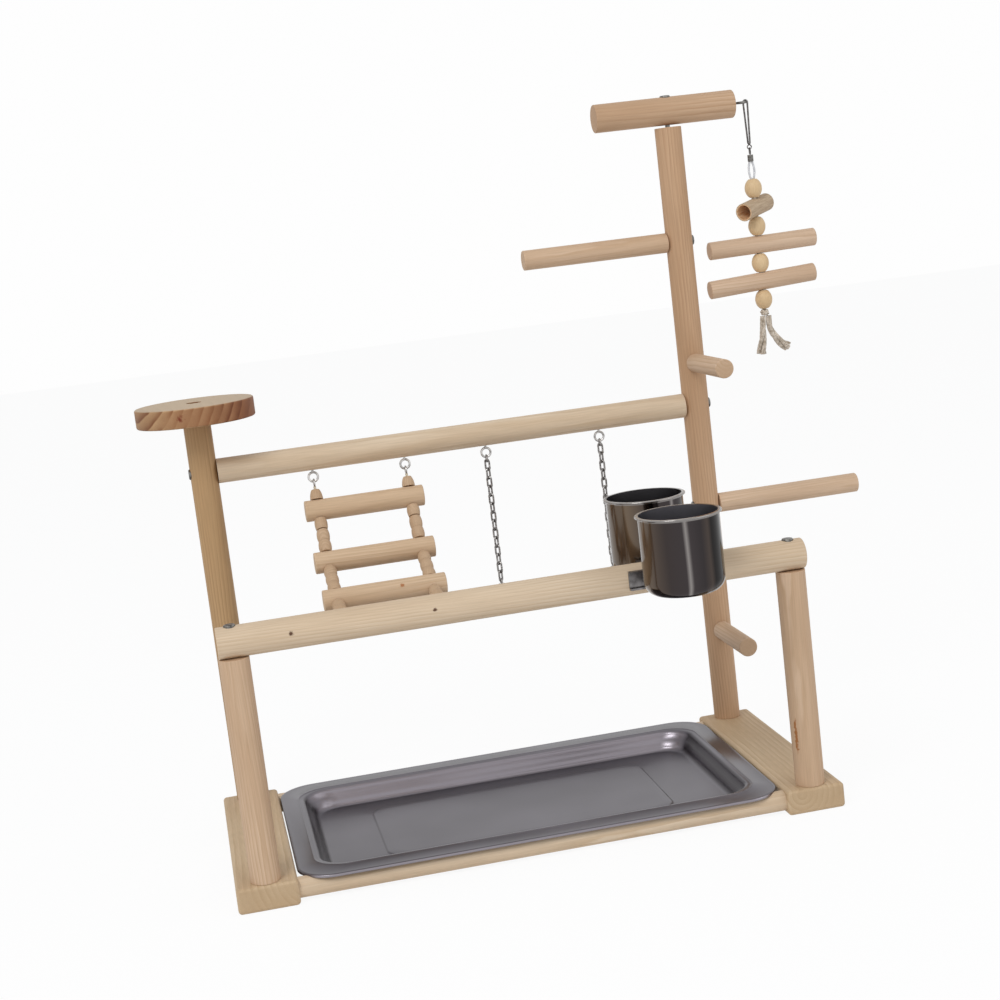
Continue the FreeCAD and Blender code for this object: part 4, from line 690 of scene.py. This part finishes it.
def loop_nylon():
    """Clear nylon line: greyish, glossy, lets light through."""
    made, tree, shader, place = finish_named("clear_nylon_line", Roughness=0.18)
    shader.inputs["Transmission Weight"].default_value = 0.2
    shader.inputs["IOR"].default_value = 1.53
    haze = add(tree, "ShaderNodeTexNoise", {"Vector": place.outputs["Object"], "Scale": 350, "Detail": 2})
    colour = add(tree, "ShaderNodeValToRGB", {"Fac": haze.outputs["Fac"]},
                 stops=[(0.35, srgb("#CBCCD0")), (0.65, srgb("#EDEDEF"))])
    tree.links.new(colour.outputs[0], shader.inputs["Base Color"])
    return made


LOOP_LINE_RADIUS = 1.0 * MM
LOOP_STEPS = 16


def bend_loop():
    """The doubled line from the ferrule to the rope, bowed out at its middle."""
    low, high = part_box("toy_loop")
    centre = (low + high) / 2
    bow = (high.x - low.x) / 2 - LOOP_LINE_RADIUS
    foot = LOOP_LINE_RADIUS * 1.05
    paths = []
    for sign in (-1, 1):
        path = []
        for step in range(LOOP_STEPS + 1):
            share = step / LOOP_STEPS
            out = foot + (bow - foot) * math.sin(math.pi * share) ** 0.9
            path.append(Vector((centre.x + sign * out, centre.y, high.z + (low.z - high.z) * share)))
        paths.append(path)
    piece = strand_mesh("toy_loop_line", paths, LOOP_LINE_RADIUS, 4)
    return settle(piece, "toy_loop_line", loop_nylon(), "toy_loop")


def on_line(start, end, axis, value):
    """The point of a line whose one coordinate has a given value."""
    return start.lerp(end, (value - start[axis]) / (end[axis] - start[axis]))


STRING_DIAMETER = 2.6 * MM
STRING_LAY = 5 * MM
STRING_STEP = 0.8 * MM


def string_ladder():
    """The ladder's two strings, laid cords that run straight from hook to rung to hook."""
    laid = cotton("laid_cotton_string", "#E6DCC8", "#C3B59B", 500)
    pivot = {joint["name"]: Vector(joint["pos_m"]) for joint in frame["joints"]
             if joint["name"].startswith("ladder_")}
    rung = {number: middle(f"ladder_rung_{number}") for number in range(1, 6)}
    top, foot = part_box("ladder_strings_upper")[1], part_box("ladder_strings_lower")[0]
    upper_end = on_line(rung[1], pivot["ladder_sway"], 2, top.z)
    lowest_end = on_line(rung[5], middle("ladder_hooks_lower"), 1, foot.y)
    runs = {
        "upper": [upper_end, rung[1], pivot["ladder_upper_bend"]],
        "middle": [pivot["ladder_upper_bend"], rung[2], rung[3], rung[4], pivot["ladder_lower_bend"]],
        "lower": [pivot["ladder_lower_bend"], rung[5], lowest_end],
    }
    for name, run in runs.items():
        node_name = f"ladder_strings_{name}"
        low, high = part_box(node_name)
        radius = STRING_DIAMETER / 2
        paths = []
        for x in (low.x + radius, high.x - radius):
            line = evenly([Vector((x, point.y, point.z)) for point in run], STRING_STEP)
            wound, thin = twist_rope(line, radius, 3, STRING_LAY)
            paths += wound
        piece = strand_mesh(f"{node_name}_laid", paths, thin, 2)
        settle(piece, f"{node_name}_laid", laid, node_name)


# ---- tray ----

TRAY = {
    "flange_side": 17 * MM,
    "flange_end": 21 * MM,
    "corner": 30 * MM,
    "gauge": 0.8 * MM,
    "hem": 1.2 * MM,
    "fold": 3.5 * MM,
    "foot_fold": 5.0 * MM,
    "bead_width": 1.6 * MM,
    "bead_rise": 0.5 * MM,
    "wall_slope": 6 * MM,
    "panel_margin": 34 * MM,
    "panel_step": 2.2 * MM,
    "panel_rise": 1.0 * MM,
}


# The bead's rings from outside in: how many bead widths each lies off the pan, and how far it falls, as a
# share of the bead's rise. The panel's edge rises, and the hem turns out and down, in shares too.
BEAD_RINGS = ((3.4, -0.7), (2.8, -0.3), (2.2, 0.3), (1.6, 0.7))
PANEL_STEPS = (0.15, 0.35, 0.35, 0.15)
HEM_STEPS = ((0.7, 0.3), (1.0, 0.7), (1.0, 1.0))


def draw_face(size, width, depth, drop):
    """Extrudes the selected face down by the drop, in to a new width and depth. Size keeps the last ones."""
    bpy.ops.mesh.extrude_region_move(TRANSFORM_OT_translate={"value": (0, 0, -drop)})
    bpy.ops.transform.resize(value=(width / size[0], depth / size[1], 1), center_override=(0, 0, 0))
    size[:] = [width, depth]


def fold_down(size, radius, parts=5):
    """Carries the face round a quarter turn, from level to falling."""
    width, depth = size
    angles = [math.pi / 2 * part / parts for part in range(parts + 1)]
    for before, after in zip(angles, angles[1:]):
        inward = 2 * radius * math.sin(after)
        draw_face(size, width - inward, depth - inward, radius * (math.cos(before) - math.cos(after)))


def fold_level(size, radius, parts=5):
    """Carries the face round a quarter turn, from falling to level."""
    width, depth = size
    angles = [math.pi / 2 * part / parts for part in range(parts + 1)]
    for before, after in zip(angles, angles[1:]):
        inward = 2 * radius * (1 - math.cos(after))
        draw_face(size, width - inward, depth - inward, radius * (math.sin(after) - math.sin(before)))


def press_tray():
    """The tray: a sheet pressed to a pan, with a wide flange, a small hem and a raised floor panel."""
    low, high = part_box("tray")
    width, depth, height = high - low
    start_piece()
    bpy.ops.mesh.primitive_plane_add(size=1, location=((low.x + high.x) / 2, (low.y + high.y) / 2, high.z))
    tray = bpy.context.object
    size = [width - 2 * TRAY["hem"], depth - 2 * TRAY["hem"]]
    tray.scale = (*size, 1)
    apply_place(tray)
    bpy.ops.object.mode_set(mode="EDIT")
    bpy.ops.mesh.select_all(action="SELECT")
    bpy.ops.mesh.bevel(offset=TRAY["corner"] - TRAY["hem"], segments=12, affect="VERTICES")
    bpy.ops.mesh.select_all(action="SELECT")
    pan = [width - 2 * TRAY["flange_side"], depth - 2 * TRAY["flange_end"]]
    # The first ring is inset, so that the face has neighbours: a lone face would leave a copy behind.
    rim = TRAY["hem"]
    bpy.ops.mesh.inset(thickness=rim)
    size = [side - 2 * rim for side in size]
    # A shallow bead runs round the flange beside the pan's fold.
    bead = TRAY["bead_width"]
    draw_face(size, pan[0] + 4 * bead, pan[1] + 4 * bead, 0)
    for inward, drop in BEAD_RINGS:
        draw_face(size, pan[0] + inward * bead, pan[1] + inward * bead, drop * TRAY["bead_rise"])
    draw_face(size, pan[0], pan[1], 0)
    fold_down(size, TRAY["fold"])
    fall = height - TRAY["gauge"] - TRAY["fold"] - TRAY["foot_fold"]
    slope = TRAY["wall_slope"]
    for _ in range(2):
        draw_face(size, size[0] - slope, size[1] - slope, fall / 2)
    fold_level(size, TRAY["foot_fold"])
    margin = 2 * TRAY["panel_margin"]
    step = TRAY["panel_step"]
    panel = [pan[0] - 2 * margin + 4 * slope, pan[1] - margin]
    draw_face(size, (size[0] + panel[0]) / 2, (size[1] + panel[1]) / 2, 0)
    draw_face(size, *panel, 0)
    for share in PANEL_STEPS:
        draw_face(size, size[0] - step / 2, size[1] - step / 2, -share * TRAY["panel_rise"])
    draw_face(size, size[0] - 6 * step, size[1] - 6 * step, 0)
    # The hem: the flange's outer edge turned out and down.
    bpy.ops.mesh.select_all(action="DESELECT")
    bpy.ops.mesh.select_mode(type="EDGE")
    bpy.ops.mesh.select_non_manifold(extend=False)
    size = [width - 2 * TRAY["hem"], depth - 2 * TRAY["hem"]]
    for out, drop in HEM_STEPS:
        wide = [side - 2 * TRAY["hem"] * (1 - out) for side in (width, depth)]
        bpy.ops.mesh.extrude_edges_move(TRANSFORM_OT_translate={"value": (0, 0, -drop * MM)})
        bpy.ops.transform.resize(value=(wide[0] / size[0], wide[1] / size[1], 1), center_override=(0, 0, 0))
        size = wide
    bpy.ops.object.mode_set(mode="OBJECT")
    wall = tray.modifiers.new("sheet", "SOLIDIFY")
    wall.thickness = TRAY["gauge"]
    wall.offset = -1
    bpy.ops.object.modifier_apply(modifier=wall.name)
    bpy.ops.object.shade_smooth_by_angle(angle=math.radians(40))
    settle(tray, "tray_pressed", tray_steel(), "tray")


# ---- camera, light and floor ----

# Fitted to the photograph: the place, the turns in radians and the lens in millimetres.
CAMERA_PLACE = Vector((-232.97, -1439.47, 496.34)) * MM
CAMERA_YAW = 0.1699
CAMERA_PITCH = -0.158
CAMERA_ROLL = -0.1188
CAMERA_LENS = 65.67


def set_camera():
    """The photograph's view: a little above the stand, turned to its right and leaning."""
    ahead = Vector((math.sin(CAMERA_YAW) * math.cos(CAMERA_PITCH),
                    math.cos(CAMERA_YAW) * math.cos(CAMERA_PITCH), math.sin(CAMERA_PITCH)))
    level = Vector((math.cos(CAMERA_YAW), -math.sin(CAMERA_YAW), 0))
    upright = level.cross(ahead)
    across = math.cos(CAMERA_ROLL) * level + math.sin(CAMERA_ROLL) * upright
    above = math.cos(CAMERA_ROLL) * upright - math.sin(CAMERA_ROLL) * level
    camera = bpy.data.objects.new("camera", bpy.data.cameras.new("camera"))
    bpy.context.scene.collection.objects.link(camera)
    camera.data.lens = CAMERA_LENS
    camera.data.sensor_width = 36
    camera.data.clip_end = 20
    turn = Matrix((across, above, -ahead)).transposed().to_4x4()
    camera.matrix_world = Matrix.Translation(CAMERA_PLACE) @ turn
    bpy.context.scene.camera = camera


def seen_directly(tree):
    """1 where a camera, mirror or glass ray looks."""
    path = tree.nodes.new("ShaderNodeLightPath")
    mirror = add(tree, "ShaderNodeMath", {0: path.outputs["Is Camera Ray"], 1: path.outputs["Is Glossy Ray"]},
                 operation="MAXIMUM")
    return add(tree, "ShaderNodeMath", {0: mirror.outputs[0], 1: path.outputs["Is Transmission Ray"]},
               operation="MAXIMUM").outputs[0]


# How bright the room is to the stand, and how much of the floor that is seen glows by itself.
AMBIENT = 0.62
FLOOR_GLOW = 0.92
# The backdrop is as white as the lit floor, so that no line shows where they meet.
BACKDROP = 0.99
# Each lamp's place and size in metres, and its watts. All of them aim at the stand's middle.
LAMPS = {"key": ((-1.3, -1.7, 2.3), 1.2, 30), "fill": ((1.8, -1.2, 1.4), 1.6, 8)}
LAMP_AIM = Vector((0, 0, 0.25))
FLOOR_SIDE = 12


def set_light():
    """An even white room with a soft key light and a weaker fill."""
    world = bpy.data.worlds.new("white_room")
    world.use_nodes = True
    bpy.context.scene.world = world
    tree = world.node_tree
    tree.nodes.clear()
    soft = add(tree, "ShaderNodeBackground", {"Color": srgb("#F6F8FB"), "Strength": AMBIENT})
    white = add(tree, "ShaderNodeBackground", {"Color": (1, 1, 1, 1), "Strength": BACKDROP})
    mixed = add(tree, "ShaderNodeMixShader", {0: seen_directly(tree), 1: soft.outputs[0],
                                              2: white.outputs[0]})
    add(tree, "ShaderNodeOutputWorld", {"Surface": mixed.outputs[0]})
    for name, (place, size, watts) in LAMPS.items():
        lamp = bpy.data.lights.new(name, "AREA")
        lamp.size = size
        lamp.energy = watts
        holder = bpy.data.objects.new(name, lamp)
        bpy.context.scene.collection.objects.link(holder)
        holder.location = place
        aim = LAMP_AIM - Vector(place)
        holder.rotation_euler = aim.to_track_quat("-Z", "Y").to_euler()


def set_floor():
    """A white floor that takes the stand's shadow."""
    start_piece()
    bpy.ops.mesh.primitive_plane_add(size=FLOOR_SIDE, location=(0, 0, 0))
    floor = bpy.context.object
    floor.name = "floor"
    made = bpy.data.materials.new("white_floor")
    made.use_nodes = True
    tree = made.node_tree
    tree.nodes.clear()
    matt = add(tree, "ShaderNodeBsdfDiffuse", {"Color": srgb("#FBFBFB")})
    glow = add(tree, "ShaderNodeEmission", {"Color": (1, 1, 1, 1), "Strength": 1})
    share = add(tree, "ShaderNodeMath", {0: seen_directly(tree), 1: FLOOR_GLOW}, operation="MULTIPLY")
    mixed = add(tree, "ShaderNodeMixShader", {0: share.outputs[0], 1: matt.outputs[0], 2: glow.outputs[0]})
    add(tree, "ShaderNodeOutputMaterial", {"Surface": mixed.outputs[0]})
    floor.data.materials.append(made)


bpy.context.scene.view_settings.view_transform = "Standard"
set_camera()
set_light()
set_floor()
tie_rope()
bend_loop()
string_ladder()
press_tray()
dress_dowels()
dress_small_wood()
dress_metal()
